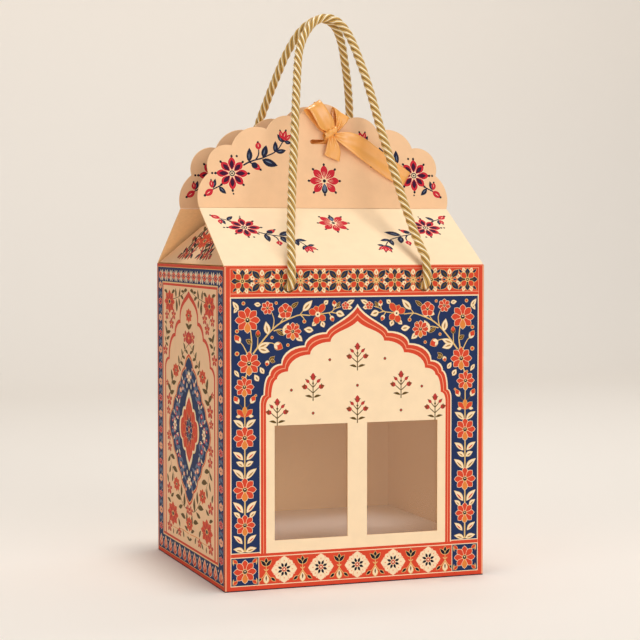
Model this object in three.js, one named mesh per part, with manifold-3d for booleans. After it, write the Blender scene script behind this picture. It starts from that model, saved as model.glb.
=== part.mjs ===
// Gable-topped hamper box of folded, printed paperboard, with twisted cord handles
// and a ribbon bow. Millimetres, +Z up, origin at the middle of the base.
// The front faces -Y and the viewer's right is +X.

import * as THREE from "three";
import { mergeVertices } from "three/addons/utils/BufferGeometryUtils.js";
import Module from "manifold-3d";

const wasm = await Module();
wasm.setup();

// Carcass
const BOX_WIDTH = 200;
const BOX_DEPTH = 185;
const WALL_HEIGHT = 230;
const BOARD = 1;
const FIT = 0.3;
const CREASE_GAP = 0.5;

// Windows in the front wall, and the clear film glued behind both
const WINDOW_WIDTH = 55.5;
const WINDOW_HEIGHT = 82;
const WINDOW_SILL = 35;
const MULLION = 15;
const FILM = 0.4;
const FILM_MARGIN = 7.5;

// Base flaps, raised floor and the seam at the back left corner
const SEAM_GAP = 0.6;
const SIDE_FLAP_REACH = 62;
const SIDE_FLAP_TAPER = 20;
const FLOOR_LEVEL = 26;
const GLUE_FLAP_WIDTH = 18;
const GLUE_FLAP_TAPER = 8;
const GLUE_FLAP_DROP = 3;

// Gable top: two roof panels, each with a scalloped crest, and two side gussets
const ROOF_RUN = 66;
const ROOF_RISE = 42.5;
const ROOF_TOP_INSET = 1;
const CREST_LEAN = THREE.MathUtils.degToRad(7);
const GUSSET_TILT = THREE.MathUtils.degToRad(55);
const GUSSET_REACH = 40;
const GUSSET_CLEARANCE = 0.8;
const GUSSET_CORNER = 6;

// Crest scallops from the lower corner to the middle: how far in from the end of the fold
// and how high above it each lobe starts, and how far its arc stands out from its chord
const LOBE_INSETS = [0, 8, 26.7, 54.5, 79.3];
const LOBE_HEIGHTS = [0, 25.5, 46.5, 59.3, 67.5];
const LOBE_BULGES = [4.2, 8.3, 6.5, 5.8, 12];
const LOBE_STEPS = 8;
const SLOT_LENGTH = 21;
const SLOT_HEIGHT = 3.5;
const SLOT_LEVEL = 50.5;

// Cord handles: each end is knotted inside the wall, passes out through a hole and turns up
const CORD_DIAMETER = 7;
const CORD_SIDES = 10;
const CORD_STEPS = 44;
const HOLE_DIAMETER = 8.5;
const HOLE_SIDES = 16;
const HOLE_SPACING = 104;
const HOLE_DROP = 14.5;
const BEND_DIAMETER = 9.6;
const BEND_STANDOFF = 5.5;
const FOOT_RISE = 16.7;
const FOOT_TOP_DIAMETER = 8;
const KNOT_DIAMETER = 15;
const KNOT_WAIST = 12.5;
const KNOT_LENGTH = 12;
const CORD_END = 5;

// Routes of the two cords, from the left foot over the top to the right foot
const FRONT_CORD_ROUTE = [
  [-51.4, -95.8, 235.8], [-50.3, -91.8, 242.4], [-48.6, -86, 252],
  [-45, -77, 271], [-40, -65, 295], [-35, -54, 318], [-28.5, -39, 349], [-21.5, -23.5, 381],
  [-17, -16, 394], [-10.5, -10, 405], [-2, -5.6, 414.2], [8, -4, 418], [17.3, -5.6, 415],
  [24, -10.5, 405], [28.5, -19, 388], [33, -31.5, 362], [36.5, -46, 331], [40.3, -58.5, 305],
  [44.7, -72.5, 275], [48.6, -85.4, 251], [50.3, -91.8, 241.9], [51.4, -95.9, 235.8],
];
const BACK_CORD_ROUTE = [
  [-51.4, 95.8, 235.8], [-50.6, 92, 241.9], [-49.2, 86.6, 251],
  [-46, 78, 269], [-41.2, 66, 293], [-35.3, 53, 319], [-28.8, 38.5, 348], [-23.5, 28, 369],
  [-17.6, 18, 389], [-10.4, 10, 405], [-2, 5.6, 414.2], [8, 4, 418], [18.5, 6, 413.5],
  [26.5, 12, 402], [32.3, 19.4, 387], [37.8, 27.6, 371], [42.8, 36.8, 351], [46.6, 48, 327],
  [49.6, 62, 299], [51.2, 75.5, 271], [51.9, 87.2, 250], [52, 92.2, 242], [52, 95.9, 235.9],
];

// Ribbon bow, tied through the slot of the front crest and over its top edge.
// Directions are turned from the crest's left-to-right line.
const RIBBON_WIDTH = 15;
const RIBBON = 0.6;
const TIE_WIDTH = 9;
const TIE_OFFSET = 4;
const BOW_RISE = 6;
const BOW_KNOT = { width: 12, height: 10.5, depth: 7 };
const LEFT_LOOP = { turn: 123, length: 21.5, depth: 9 };
const RIGHT_LOOP = { turn: 62, length: 13.5, depth: 8 };
const SHORT_TAIL = { turn: -94, length: 14, swell: 2.4 };
const LONG_TAIL = { turn: -30, length: 59, swell: 4.5 };
const TAIL_STEPS = 14;
const BAND_STEPS = 24;
const TEARDROP_SWELL = 1.299;
const NECK_WIDTH = 6;
const GATHER_LENGTH = 8;

const finish = (color, roughness) => new THREE.MeshStandardMaterial({ color, roughness, metalness: 0 });
const NAVY_PRINT = finish("#24365f", 0.6);
const CREAM_BOARD = finish("#fce3be", 0.7);
const PEACH_BOARD = finish("#fcd3a8", 0.7);
const PLAIN_BOARD = finish("#e9d3b4", 0.8);
const CLEAR_FILM = new THREE.MeshStandardMaterial({
  color: "#f4efe6", roughness: 0.15, metalness: 0, transparent: true, opacity: 0.3,
});
const GOLD_CORD = finish("#d9b566", 0.55);
const GOLD_RIBBON = finish("#e9a44c", 0.45);

// Sizes that follow from the driving ones
const roofSlope = Math.atan2(ROOF_RISE, ROOF_RUN);
const roofLength = Math.hypot(ROOF_RISE, ROOF_RUN);
const innerWidth = BOX_WIDTH - 2 * BOARD;
const innerDepth = BOX_DEPTH - 2 * BOARD;
const flapThickness = 2 * BOARD + FIT;
const cordRadius = CORD_DIAMETER / 2;
const holeLevel = WALL_HEIGHT - HOLE_DROP;
const crestHeight = CREASE_GAP + LOBE_HEIGHTS.at(-1) + LOBE_BULGES.at(-1);

function named(name, geometry, material) {
  const mesh = new THREE.Mesh(geometry, material);
  mesh.name = name;
  return mesh;
}

// A closed outline through the given corners
function outline(corners) {
  return new THREE.Shape(corners.map(([x, y]) => new THREE.Vector2(x, y)));
}

function rectangle(left, bottom, right, top) {
  return outline([[left, bottom], [right, bottom], [right, top], [left, top]]);
}

// Points round part of a circle, without its last one
function arcPoints(x, y, radius, start, end, steps) {
  return Array.from({ length: steps }, (_, i) => {
    const angle = start + ((end - start) * i) / steps;
    return [x + radius * Math.cos(angle), y + radius * Math.sin(angle)];
  });
}

function roundHole(x, y, diameter) {
  return outline(arcPoints(x, y, diameter / 2, 0, 2 * Math.PI, HOLE_SIDES));
}

function solidOf(geometry) {
  const bare = geometry.index ? geometry.toNonIndexed() : geometry.clone();
  bare.deleteAttribute("normal");
  bare.deleteAttribute("uv");
  const merged = mergeVertices(bare);
  return new wasm.Manifold(new wasm.Mesh({
    numProp: 3,
    vertProperties: new Float32Array(merged.attributes.position.array),
    triVerts: new Uint32Array(merged.index.array),
  }));
}

function geometryOf(solid) {
  const mesh = solid.getMesh();
  const geometry = new THREE.BufferGeometry();
  geometry.setAttribute("position", new THREE.BufferAttribute(mesh.vertProperties, 3));
  geometry.setIndex(new THREE.BufferAttribute(mesh.triVerts, 1));
  geometry.computeVertexNormals();
  return geometry;
}

// An outline given depth, with other outlines cut through it
function slab(shape, depth, holes = []) {
  const solid = solidOf(new THREE.ExtrudeGeometry(shape, { depth, bevelEnabled: false }));
  const cutters = holes.map((hole) =>
    solidOf(new THREE.ExtrudeGeometry(hole, { depth: 3 * depth, bevelEnabled: false }).translate(0, 0, -depth)));
  return geometryOf(cutters.reduce((rest, cutter) => rest.subtract(cutter), solid));
}

// A panel of board whose outer face lies in the local plane z = 0
function panel(shape, { thickness = BOARD, holes = [] } = {}) {
  return slab(shape, thickness, holes).translate(0, 0, -thickness);
}

// A side of the box: local x runs along it, y goes up and z points out of its face
function side(turn, distance) {
  const face = new THREE.Group();
  face.position.set(0, -distance, 0);
  face.rotation.x = Math.PI / 2;
  const turned = new THREE.Group();
  turned.rotation.z = turn;
  turned.add(face);
  return { turned, face };
}

// Walls
const longWall = rectangle(-BOX_WIDTH / 2, 0, BOX_WIDTH / 2, WALL_HEIGHT);
const cordHoles = [-1, 1].map((hand) => roundHole((hand * HOLE_SPACING) / 2, holeLevel, HOLE_DIAMETER));

function frontWall() {
  const near = MULLION / 2;
  const far = near + WINDOW_WIDTH;
  const top = WINDOW_SILL + WINDOW_HEIGHT;
  const windows = [rectangle(-far, WINDOW_SILL, -near, top), rectangle(near, WINDOW_SILL, far, top)];
  return panel(longWall, { holes: [...windows, ...cordHoles] });
}

function backWall() {
  return panel(longWall, { holes: cordHoles });
}

function sideWall() {
  const half = innerDepth / 2 - FIT;
  return panel(rectangle(-half, 0, half, WALL_HEIGHT));
}

// The seam flap folds off the back wall and is glued inside the left wall
function glueFlap() {
  const back = -(innerDepth / 2 - FIT);
  const bottom = FLOOR_LEVEL + FIT;
  const top = WALL_HEIGHT - GLUE_FLAP_DROP;
  const shape = outline([
    [back, bottom],
    [back + GLUE_FLAP_WIDTH, bottom + GLUE_FLAP_TAPER],
    [back + GLUE_FLAP_WIDTH, top - GLUE_FLAP_TAPER],
    [back, top],
  ]);
  return panel(shape).translate(0, 0, -BOARD - FIT);
}

function windowFilm() {
  const half = MULLION / 2 + WINDOW_WIDTH + FILM_MARGIN;
  const shape = rectangle(-half, WINDOW_SILL - FILM_MARGIN, half, WINDOW_SILL + WINDOW_HEIGHT + FILM_MARGIN);
  return panel(shape, { thickness: FILM }).translate(0, 0, -BOARD - FIT / 3);
}

// Base: the front and back flaps meet at a middle seam, and the side flaps lie on them
function longBaseFlap() {
  const half = innerWidth / 2 - FIT;
  const shape = rectangle(-half, -innerDepth / 2 + FIT, half, -SEAM_GAP / 2);
  return panel(shape).translate(0, 0, BOARD);
}

function sideBaseFlap() {
  const half = innerDepth / 2 - FIT;
  const crease = -innerWidth / 2 + FIT;
  const edge = crease + SIDE_FLAP_REACH;
  const shape = outline([
    [-half, crease],
    [half, crease],
    [half - SIDE_FLAP_TAPER, edge],
    [-half + SIDE_FLAP_TAPER, edge],
  ]);
  return panel(shape).translate(0, 0, flapThickness);
}

// Raised floor: a shallow tray turned over, standing on the side flaps
function floorInsert() {
  const foot = flapThickness + FIT;
  const width = innerWidth - 2 * FIT;
  const depth = innerDepth - 2 * (FILM + 2 * FIT);
  const height = FLOOR_LEVEL - foot;
  const outside = new THREE.BoxGeometry(width, depth, height).translate(0, 0, foot + height / 2);
  const inside = new THREE.BoxGeometry(width - 2 * BOARD, depth - 2 * BOARD, height)
    .translate(0, 0, foot + height / 2 - BOARD);
  return geometryOf(solidOf(outside).subtract(solidOf(inside)));
}

// Gable top
function roof() {
  const low = BOARD + CREASE_GAP;
  const high = roofLength - CREASE_GAP;
  const bottomHalf = BOX_WIDTH / 2;
  const topHalf = bottomHalf - ROOF_TOP_INSET;
  return panel(outline([[-bottomHalf, low], [bottomHalf, low], [topHalf, high], [-topHalf, high]]));
}

// Points along an arc from one cusp to the next, standing out from their chord by bulge
function lobePoints(from, to, bulge) {
  const chord = to.clone().sub(from);
  const radius = (chord.lengthSq() / 4 + bulge * bulge) / (2 * bulge);
  const outward = new THREE.Vector2(chord.y, -chord.x).normalize();
  const centre = from.clone().add(to).multiplyScalar(0.5).addScaledVector(outward, bulge - radius);
  const start = from.clone().sub(centre).angle();
  const sweep = 2 * Math.asin(chord.length() / 2 / radius);
  return arcPoints(centre.x, centre.y, radius, start, start + sweep, LOBE_STEPS);
}

// Right half of the outline from the fold to the middle, then its mirror image back down
function crest() {
  const end = BOX_WIDTH / 2 - ROOF_TOP_INSET;
  const right = LOBE_INSETS.map((inset, i) => new THREE.Vector2(end - inset, LOBE_HEIGHTS[i]));
  const left = right.map(({ x, y }) => new THREE.Vector2(-x, y)).reverse();
  const cusps = [...right, ...left];
  const lobes = [...LOBE_BULGES, ...LOBE_BULGES.slice(0, -1).reverse()];
  const scallops = lobes.flatMap((bulge, i) => lobePoints(cusps[i], cusps[i + 1], bulge));
  const last = cusps.at(-1);
  const shape = outline([...scallops, [last.x, last.y]].map(([x, y]) => [x, y + CREASE_GAP]));
  return panel(shape, { holes: [crestSlot()] });
}

function crestSlot() {
  const reach = (SLOT_LENGTH - SLOT_HEIGHT) / 2;
  const radius = SLOT_HEIGHT / 2;
  const quarter = Math.PI / 2;
  const round = arcPoints(reach, SLOT_LEVEL, radius, -quarter, quarter, LOBE_STEPS);
  const rightEnd = [...round, [reach, SLOT_LEVEL + radius]];
  const leftEnd = rightEnd.map(([x, y]) => [-x, 2 * SLOT_LEVEL - y]);
  return outline([...rightEnd, ...leftEnd]);
}

// A gusset is cut narrow enough to swing in and out between the closed roof panels
function gusset() {
  const halfAt = (reach) =>
    BOX_DEPTH / 2 - reach / Math.tan(roofSlope) - BOARD / Math.sin(roofSlope) - GUSSET_CLEARANCE;
  const low = BOARD + CREASE_GAP;
  const cut = GUSSET_REACH - GUSSET_CORNER;
  const topHalf = halfAt(GUSSET_REACH) - GUSSET_CORNER;
  return panel(outline([
    [-halfAt(low), low],
    [halfAt(low), low],
    [halfAt(cut), cut],
    [topHalf, GUSSET_REACH],
    [-topHalf, GUSSET_REACH],
    [-halfAt(cut), cut],
  ]));
}

// Cord: knot inside the wall with the end that passes out through the hole, along local z
function cordKnot() {
  const proud = BEND_STANDOFF - BEND_DIAMETER / 2 - FIT;
  const inside = -BOARD - FIT;
  const at = (share) => inside - share * KNOT_LENGTH;
  const profile = [
    [0, at(1) - CORD_END],
    [cordRadius, at(1) - CORD_END],
    [cordRadius, at(1)],
    [KNOT_DIAMETER / 2 - 1, at(0.9)],
    [KNOT_DIAMETER / 2, at(0.75)],
    [KNOT_WAIST / 2, at(0.5)],
    [KNOT_DIAMETER / 2, at(0.25)],
    [KNOT_DIAMETER / 2 - 1, at(0.08)],
    [cordRadius, inside],
    [cordRadius, proud],
    [0, proud],
  ].map(([r, z]) => new THREE.Vector2(r, z));
  return new THREE.LatheGeometry(profile, 14).rotateX(Math.PI / 2);
}

// The bend outside the hole is the ball of space in which the cord turns up into its foot,
// and the foot ends level with the roof's crease in the ball about which the rest swings
function cordBend() {
  const turn = new THREE.SphereGeometry(BEND_DIAMETER / 2, 14, 10);
  const foot = new THREE.CylinderGeometry(cordRadius, cordRadius, FOOT_RISE, 14).translate(0, FOOT_RISE / 2, 0);
  const top = new THREE.SphereGeometry(FOOT_TOP_DIAMETER / 2, 14, 10).translate(0, FOOT_RISE, 0);
  return geometryOf(solidOf(turn).add(solidOf(foot)).add(solidOf(top)));
}

function cordTube(route) {
  const section = outline(arcPoints(0, 0, cordRadius, 0, 2 * Math.PI, CORD_SIDES));
  const extrudePath = new THREE.CatmullRomCurve3(route.map((point) => new THREE.Vector3(...point)));
  return new THREE.ExtrudeGeometry(section, { steps: CORD_STEPS, extrudePath });
}

// Ribbon, in the crest's plane: x along the crest, y up it, z out of its face
const bowLevel = SLOT_LEVEL + BOW_RISE;
const bowBack = 2 * FIT + RIBBON;

function ribbonTie() {
  const back = -BOARD - FIT - RIBBON;
  const top = crestHeight + FIT + RIBBON;
  const bottom = SLOT_LEVEL - RIBBON / 2;
  const outside = rectangle(-FIT - RIBBON, bottom, -back, top);
  const inside = rectangle(-FIT, bottom + RIBBON, -back - RIBBON, top - RIBBON);
  const band = slab(outside, TIE_WIDTH, [inside]);
  return band.translate(0, 0, -TIE_WIDTH / 2).rotateY(Math.PI / 2).translate(TIE_OFFSET, 0, 0);
}

function bowKnot() {
  const { width, height, depth } = BOW_KNOT;
  return new THREE.SphereGeometry(0.5, 16, 10)
    .scale(width, height, depth)
    .translate(TIE_OFFSET, bowLevel, bowBack + depth / 2);
}

const knotReach = Math.max(BOW_KNOT.width, BOW_KNOT.height) / 2 + FIT;

// Gathers a strip towards the knot, where it is drawn in to its neck
function gathered(geometry) {
  const position = geometry.attributes.position;
  for (let i = 0; i < position.count; i += 1) {
    const share = THREE.MathUtils.clamp((position.getX(i) - knotReach) / GATHER_LENGTH, 0, 1);
    const width = THREE.MathUtils.lerp(NECK_WIDTH, RIBBON_WIDTH, share);
    position.setZ(i, (position.getZ(i) * width) / RIBBON_WIDTH);
  }
  return geometry;
}

// Takes a strip drawn as (out from the knot, away from the crest) to its place beside the knot
function placeStrip(shape, turn, holes) {
  return gathered(slab(shape, RIBBON_WIDTH, holes).translate(0, 0, -RIBBON_WIDTH / 2))
    .rotateX(Math.PI / 2)
    .rotateZ(THREE.MathUtils.degToRad(turn))
    .translate(TIE_OFFSET, bowLevel, 0);
}

// A bow loop: a teardrop band, narrow at the knot and full at its far fold
function bowLoop({ turn, length, depth }) {
  const middle = bowBack + depth / 2;
  const teardrop = (start, reach, fullness) => outline(Array.from({ length: BAND_STEPS }, (_, i) => {
    const angle = (2 * Math.PI * i) / BAND_STEPS;
    const share = (1 - Math.cos(angle)) / 2;
    const swell = (fullness / 2) * TEARDROP_SWELL * Math.sin(angle) * Math.sin(angle / 2);
    return [start + reach * share, middle - swell];
  }));
  const inside = teardrop(knotReach + 4 * RIBBON, length - 5 * RIBBON, depth - 2 * RIBBON);
  return placeStrip(teardrop(knotReach, length, depth), turn, [inside]);
}

// A tail: a strip that swells away from the crest and comes back to it
function bowTail({ turn, length, swell }) {
  const near = [];
  const far = [];
  for (let i = 0; i <= TAIL_STEPS; i += 1) {
    const share = i / TAIL_STEPS;
    const out = bowBack + swell * (1 - Math.cos(2 * Math.PI * share)) / 2;
    near.push([knotReach + length * share, out]);
    far.push([knotReach + length * share, out + RIBBON]);
  }
  return placeStrip(outline([...near, ...far.reverse()]), turn);
}

// Assembly
const box = new THREE.Group();

const sides = {
  front: side(0, BOX_DEPTH / 2),
  back: side(Math.PI, BOX_DEPTH / 2),
  left: side(-Math.PI / 2, BOX_WIDTH / 2),
  right: side(Math.PI / 2, BOX_WIDTH / 2),
};
Object.values(sides).forEach(({ turned }) => box.add(turned));

sides.front.face.add(named("front_wall", frontWall(), NAVY_PRINT), named("window_film", windowFilm(), CLEAR_FILM));
sides.back.face.add(named("back_wall", backWall(), NAVY_PRINT));
sides.left.face.add(named("left_wall", sideWall(), CREAM_BOARD), named("glue_flap", glueFlap(), PLAIN_BOARD));
sides.right.face.add(named("right_wall", sideWall(), CREAM_BOARD));

for (const end of ["front", "back"]) {
  const { turned, face } = sides[end];
  turned.add(named(`${end}_base_flap`, longBaseFlap(), PLAIN_BOARD));

  const roofGroup = new THREE.Group();
  roofGroup.position.y = WALL_HEIGHT;
  roofGroup.rotation.x = roofSlope - Math.PI / 2;
  roofGroup.add(named(`${end}_roof`, roof(), CREAM_BOARD));
  face.add(roofGroup);

  const crestGroup = new THREE.Group();
  crestGroup.position.y = roofLength;
  crestGroup.rotation.x = Math.PI / 2 - roofSlope - CREST_LEAN;
  crestGroup.add(named(`${end}_crest`, crest(), PEACH_BOARD));
  roofGroup.add(crestGroup);

  if (end === "front") {
    crestGroup.add(
      named("ribbon_tie", ribbonTie(), GOLD_RIBBON),
      named("ribbon_knot", bowKnot(), GOLD_RIBBON),
      named("ribbon_left_loop", bowLoop(LEFT_LOOP), GOLD_RIBBON),
      named("ribbon_right_loop", bowLoop(RIGHT_LOOP), GOLD_RIBBON),
      named("ribbon_short_tail", bowTail(SHORT_TAIL), GOLD_RIBBON),
      named("ribbon_long_tail", bowTail(LONG_TAIL), GOLD_RIBBON),
    );
  }

  // Seen from its own side, the back's left hand is the box's right
  const hands = end === "front" ? { left: -1, right: 1 } : { left: 1, right: -1 };
  for (const [hand, sign] of Object.entries(hands)) {
    const knot = named(`${end}_${hand}_knot`, cordKnot(), GOLD_CORD);
    knot.position.set((sign * HOLE_SPACING) / 2, holeLevel, 0);
    const bend = named(`${end}_${hand}_cord_bend`, cordBend(), GOLD_CORD);
    bend.position.set((sign * HOLE_SPACING) / 2, holeLevel, BEND_STANDOFF);
    face.add(knot, bend);
  }
}

for (const hand of ["left", "right"]) {
  const { turned, face } = sides[hand];
  turned.add(named(`${hand}_base_flap`, sideBaseFlap(), PLAIN_BOARD));

  const gussetGroup = new THREE.Group();
  gussetGroup.position.y = WALL_HEIGHT;
  gussetGroup.rotation.x = GUSSET_TILT - Math.PI / 2;
  gussetGroup.add(named(`${hand}_gusset`, gusset(), CREAM_BOARD));
  face.add(gussetGroup);
}

box.add(
  named("floor_insert", floorInsert(), PLAIN_BOARD),
  named("front_handle_cord", cordTube(FRONT_CORD_ROUTE), GOLD_CORD),
  named("back_handle_cord", cordTube(BACK_CORD_ROUTE), GOLD_CORD),
);

export default box;
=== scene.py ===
"""Looks of a gable-topped hamper box: printed board, twisted cord handles and a satin bow.

Sizes in the drawing functions are millimetres. A panel's print is drawn as flat shapes in
painter's order and then cut into one sheet without overlaps, so each ink keeps a sharp edge.
"""

import math

import bpy
import numpy as np
from bpy.props import FloatProperty, FloatVectorProperty, PointerProperty
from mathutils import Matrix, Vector
from mathutils.geometry import delaunay_2d_cdt


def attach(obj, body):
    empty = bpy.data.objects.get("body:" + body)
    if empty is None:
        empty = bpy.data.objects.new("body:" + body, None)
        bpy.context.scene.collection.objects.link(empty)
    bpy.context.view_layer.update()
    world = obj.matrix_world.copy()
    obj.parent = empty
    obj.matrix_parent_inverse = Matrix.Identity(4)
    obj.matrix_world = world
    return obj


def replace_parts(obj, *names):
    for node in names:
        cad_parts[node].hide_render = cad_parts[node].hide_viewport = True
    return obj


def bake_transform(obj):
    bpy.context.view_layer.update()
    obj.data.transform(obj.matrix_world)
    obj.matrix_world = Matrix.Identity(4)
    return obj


bl_info = {
    "name": "Gable hamper box",
    "version": (1, 0, 0),
    "blender": (4, 5, 0),
    "location": "View3D > Sidebar > Hamper",
    "description": "Printed board, cord handles and bow of a gable-topped hamper box",
    "category": "Object",
}

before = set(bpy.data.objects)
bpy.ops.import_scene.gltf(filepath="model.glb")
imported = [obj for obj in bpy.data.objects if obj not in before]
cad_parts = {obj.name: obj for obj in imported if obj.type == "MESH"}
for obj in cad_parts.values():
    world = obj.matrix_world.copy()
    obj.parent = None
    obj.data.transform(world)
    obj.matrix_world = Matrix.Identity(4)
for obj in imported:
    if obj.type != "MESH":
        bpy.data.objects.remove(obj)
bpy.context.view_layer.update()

MM = 0.001
TAU = 2 * math.pi

# The box as the CAD model has it, in millimetres and degrees
WIDTH = 200.0
DEPTH = 185.0
WALL = 230.0
BOARD = 1.0
WINDOW_INNER = 7.5
WINDOW_OUTER = 63.0
WINDOW_LOW = 35.0
WINDOW_HIGH = 117.0
ROOF_RUN = 66.0
ROOF_RISE = 42.5
ROOF_LENGTH = math.hypot(ROOF_RUN, ROOF_RISE)
ROOF_TILT = math.degrees(math.atan2(ROOF_RISE, ROOF_RUN))
ROOF_INSET = 1.0
CREST_TILT = 83.0
GUSSET_TILT = 55.0
GUSSET_REACH = 40.0
LOBE_INSETS = (0, 8, 26.7, 54.5, 79.3)
LOBE_HEIGHTS = (0, 25.5, 46.5, 59.3, 67.5)
LOBE_BULGES = (4.2, 8.3, 6.5, 5.8, 12)
SLOT_LEVEL = 50.5
SLOT_LENGTH = 21.0
SLOT_HEIGHT = 3.5
HOLE_X = 52.0
HOLE_LEVEL = 215.5
HOLE_RADIUS = 4.25
BEND_OUT = 5.5

# Gaps that keep the boards clear of each other: at the foot and head of a roof, at the foot of a
# crest, at the ends of a side wall, and at the foot and the slopes of a gusset, whose upper corners
# are cut off
ROOF_FOOT = 0.2
CREASE_GAP = 0.15
CORNER_GAP = 0.03
GUSSET_FOOT = 1.35
GUSSET_GAP = 0.8
GUSSET_CORNER = 6.0

# Each cord's way over the box, from its left foot to its right one, how far it goes on inside the
# wall, and the levels where its feet end and its swinging leg begins
FRONT_ROUTE = (
    (-51.4, -95.8, 235.8), (-50.3, -91.8, 242.4), (-48.6, -86, 252), (-45, -77, 271),
    (-40, -65, 295), (-35, -54, 318), (-28.5, -39, 349), (-21.5, -23.5, 381), (-17, -16, 394),
    (-10.5, -10, 405), (-2, -5.6, 414.2), (8, -4, 418), (17.3, -5.6, 415), (24, -10.5, 405),
    (28.5, -19, 388), (33, -31.5, 362), (36.5, -46, 331), (40.3, -58.5, 305),
    (44.7, -72.5, 275), (48.6, -85.4, 251), (50.3, -91.8, 241.9), (51.4, -95.9, 235.8),
)
BACK_ROUTE = (
    (-51.4, 95.8, 235.8), (-50.6, 92, 241.9), (-49.2, 86.6, 251), (-46, 78, 269),
    (-41.2, 66, 293), (-35.3, 53, 319), (-28.8, 38.5, 348), (-23.5, 28, 369), (-17.6, 18, 389),
    (-10.4, 10, 405), (-2, 5.6, 414.2), (8, 4, 418), (18.5, 6, 413.5), (26.5, 12, 402),
    (32.3, 19.4, 387), (37.8, 27.6, 371), (42.8, 36.8, 351), (46.6, 48, 327), (49.6, 62, 299),
    (51.2, 75.5, 271), (51.9, 87.2, 250), (52, 92.2, 242), (52, 95.9, 235.9),
)
STRANDS = 4
CORD_INSIDE = 6.0
FOOT_TOP = 226.0
LEG_START = 227.0

# The bow's middle on the front crest, and the two edges of each of its bands as (x, height, out)
BOW_X = 4.0
BOW_LEVEL = 56.4
KNOT_TILT = 31.0
RIBBON = 0.25
TIE_WIDTH = 10.0
KNOT_WIDTH = 11.0
LEFT_LOOP_EDGES = (
    ((1.2, 56.4, 2), (-3, 58.9, 2), (-8, 64, 2.3), (-13.2, 69.8, 3.2), (-16.7, 73.4, 6),
     (-13.6, 73, 9.2), (-9.4, 66, 9.6), (-5, 59.6, 8.2), (1.4, 57.2, 6.2)),
    ((4.6, 58.6, 1.6), (4.2, 64, 1.8), (1, 71.6, 2.3), (-2.4, 78, 3.4), (-3.9, 81.4, 6),
     (-2.4, 78.4, 8.8), (1.8, 72, 9.4), (5.8, 65.8, 8.4), (7.4, 60, 6.4)),
)
RIGHT_LOOP_EDGES = (
    ((7.4, 59.4, 1.2), (7.4, 64, 1.2), (6.8, 70, 1.6), (6.8, 75, 2.4), (7.1, 76.6, 4.2),
     (7.9, 75, 5.6), (8.6, 70, 6.2), (9, 64.6, 5.6), (7.8, 60, 5)),
    ((10.6, 57.6, 1.2), (15.4, 61.4, 1.2), (18.8, 65.8, 1.6), (20.2, 67.9, 2.4), (20.4, 68.6, 4.2),
     (19.2, 67.6, 5.6), (17, 64.4, 6.2), (13.8, 61, 5.6), (10.8, 58, 5)),
)
SHORT_TAIL_EDGES = (
    ((2.6, 54.4, 5.4), (1.8, 51, 5.6), (0.9, 47.4, 5.2), (0.2, 44, 4.2), (-0.8, 40.1, 3.4)),
    ((6.4, 55, 5.6), (8.3, 50.8, 6.2), (10.4, 46.6, 6), (11.7, 41.4, 4.6), (11.3, 35, 2.6)),
)
LONG_TAIL_EDGES = (
    ((8, 56.4, 5.8), (14, 57, 7), (21, 56.4, 7.6), (30.5, 53, 6.8), (42, 45.6, 5.2),
     (54, 37.6, 3.6), (69.4, 27.6, 1.8)),
    ((7, 52.8, 5.8), (10.4, 49.4, 6.4), (16.4, 44.6, 7), (25, 38.6, 6), (35.6, 31.6, 4.6),
     (47, 24.4, 3), (62.2, 16.4, 1.6)),
)

# Camera fitted to the box's corners in the photograph, in millimetres of lens, metres and degrees
LENS = 99.04
SENSOR = 36.0
CAMERA_PLACE = (-0.4564, -1.27416, 0.25008)
CAMERA_DOWN = 2.663
CAMERA_ASIDE = 19.896

# Studio lamps as (name, place, tilt, size, power) in metres, degrees and watts. One without a tilt
# is aimed at the box.
LAMPS = (
    ("key_lamp", (0.9, -2.5, 1.7), None, (1.5, 1.5), 12.0),
    ("top_lamp", (0.08, -0.12, 2.4), None, (0.5, 0.5), 24.0),
    ("fill_lamp", (-2.4, -1.3, 1.0), None, (1.8, 1.8), 15.0),
    ("backdrop_lamp", (1.15, 0.7, 2.0), 22, (3.0, 0.5), 11.5),
    ("front_lamp", (0.2, -2.8, 0.7), 81, (2.4, 0.9), 26.0),
)
LAMP_AIM = (0, 0, 0.2)
WORLD_STRENGTH = 0.17

# Paper sweep behind the box: front edge, start and radius of its bend, top edge and half its width,
# and the hair's breadth that it lies below the base
SWEEP_FRONT = -3000.0
SWEEP_BEND = 1500.0
SWEEP_RADIUS = 700.0
SWEEP_TOP = 3600.0
SWEEP_HALF_WIDTH = 3500.0
SWEEP_DROP = 0.05


def linear(hex_colour):
    """Linear RGBA of an sRGB hex colour."""
    code = hex_colour.lstrip("#")
    shares = [int(code[i:i + 2], 16) / 255 for i in (0, 2, 4)]
    return [s / 12.92 if s <= 0.04045 else ((s + 0.055) / 1.055) ** 2.4 for s in shares] + [1.0]


def colour_property(name, description, hex_colour):
    return FloatVectorProperty(
        name=name, description=description, subtype="COLOR", size=4, min=0, max=1,
        default=linear(hex_colour),
    )


def length_property(name, description, millimetres):
    return FloatProperty(
        name=name, description=description, default=millimetres * MM, min=0, unit="LENGTH",
        precision=5,
    )


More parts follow.
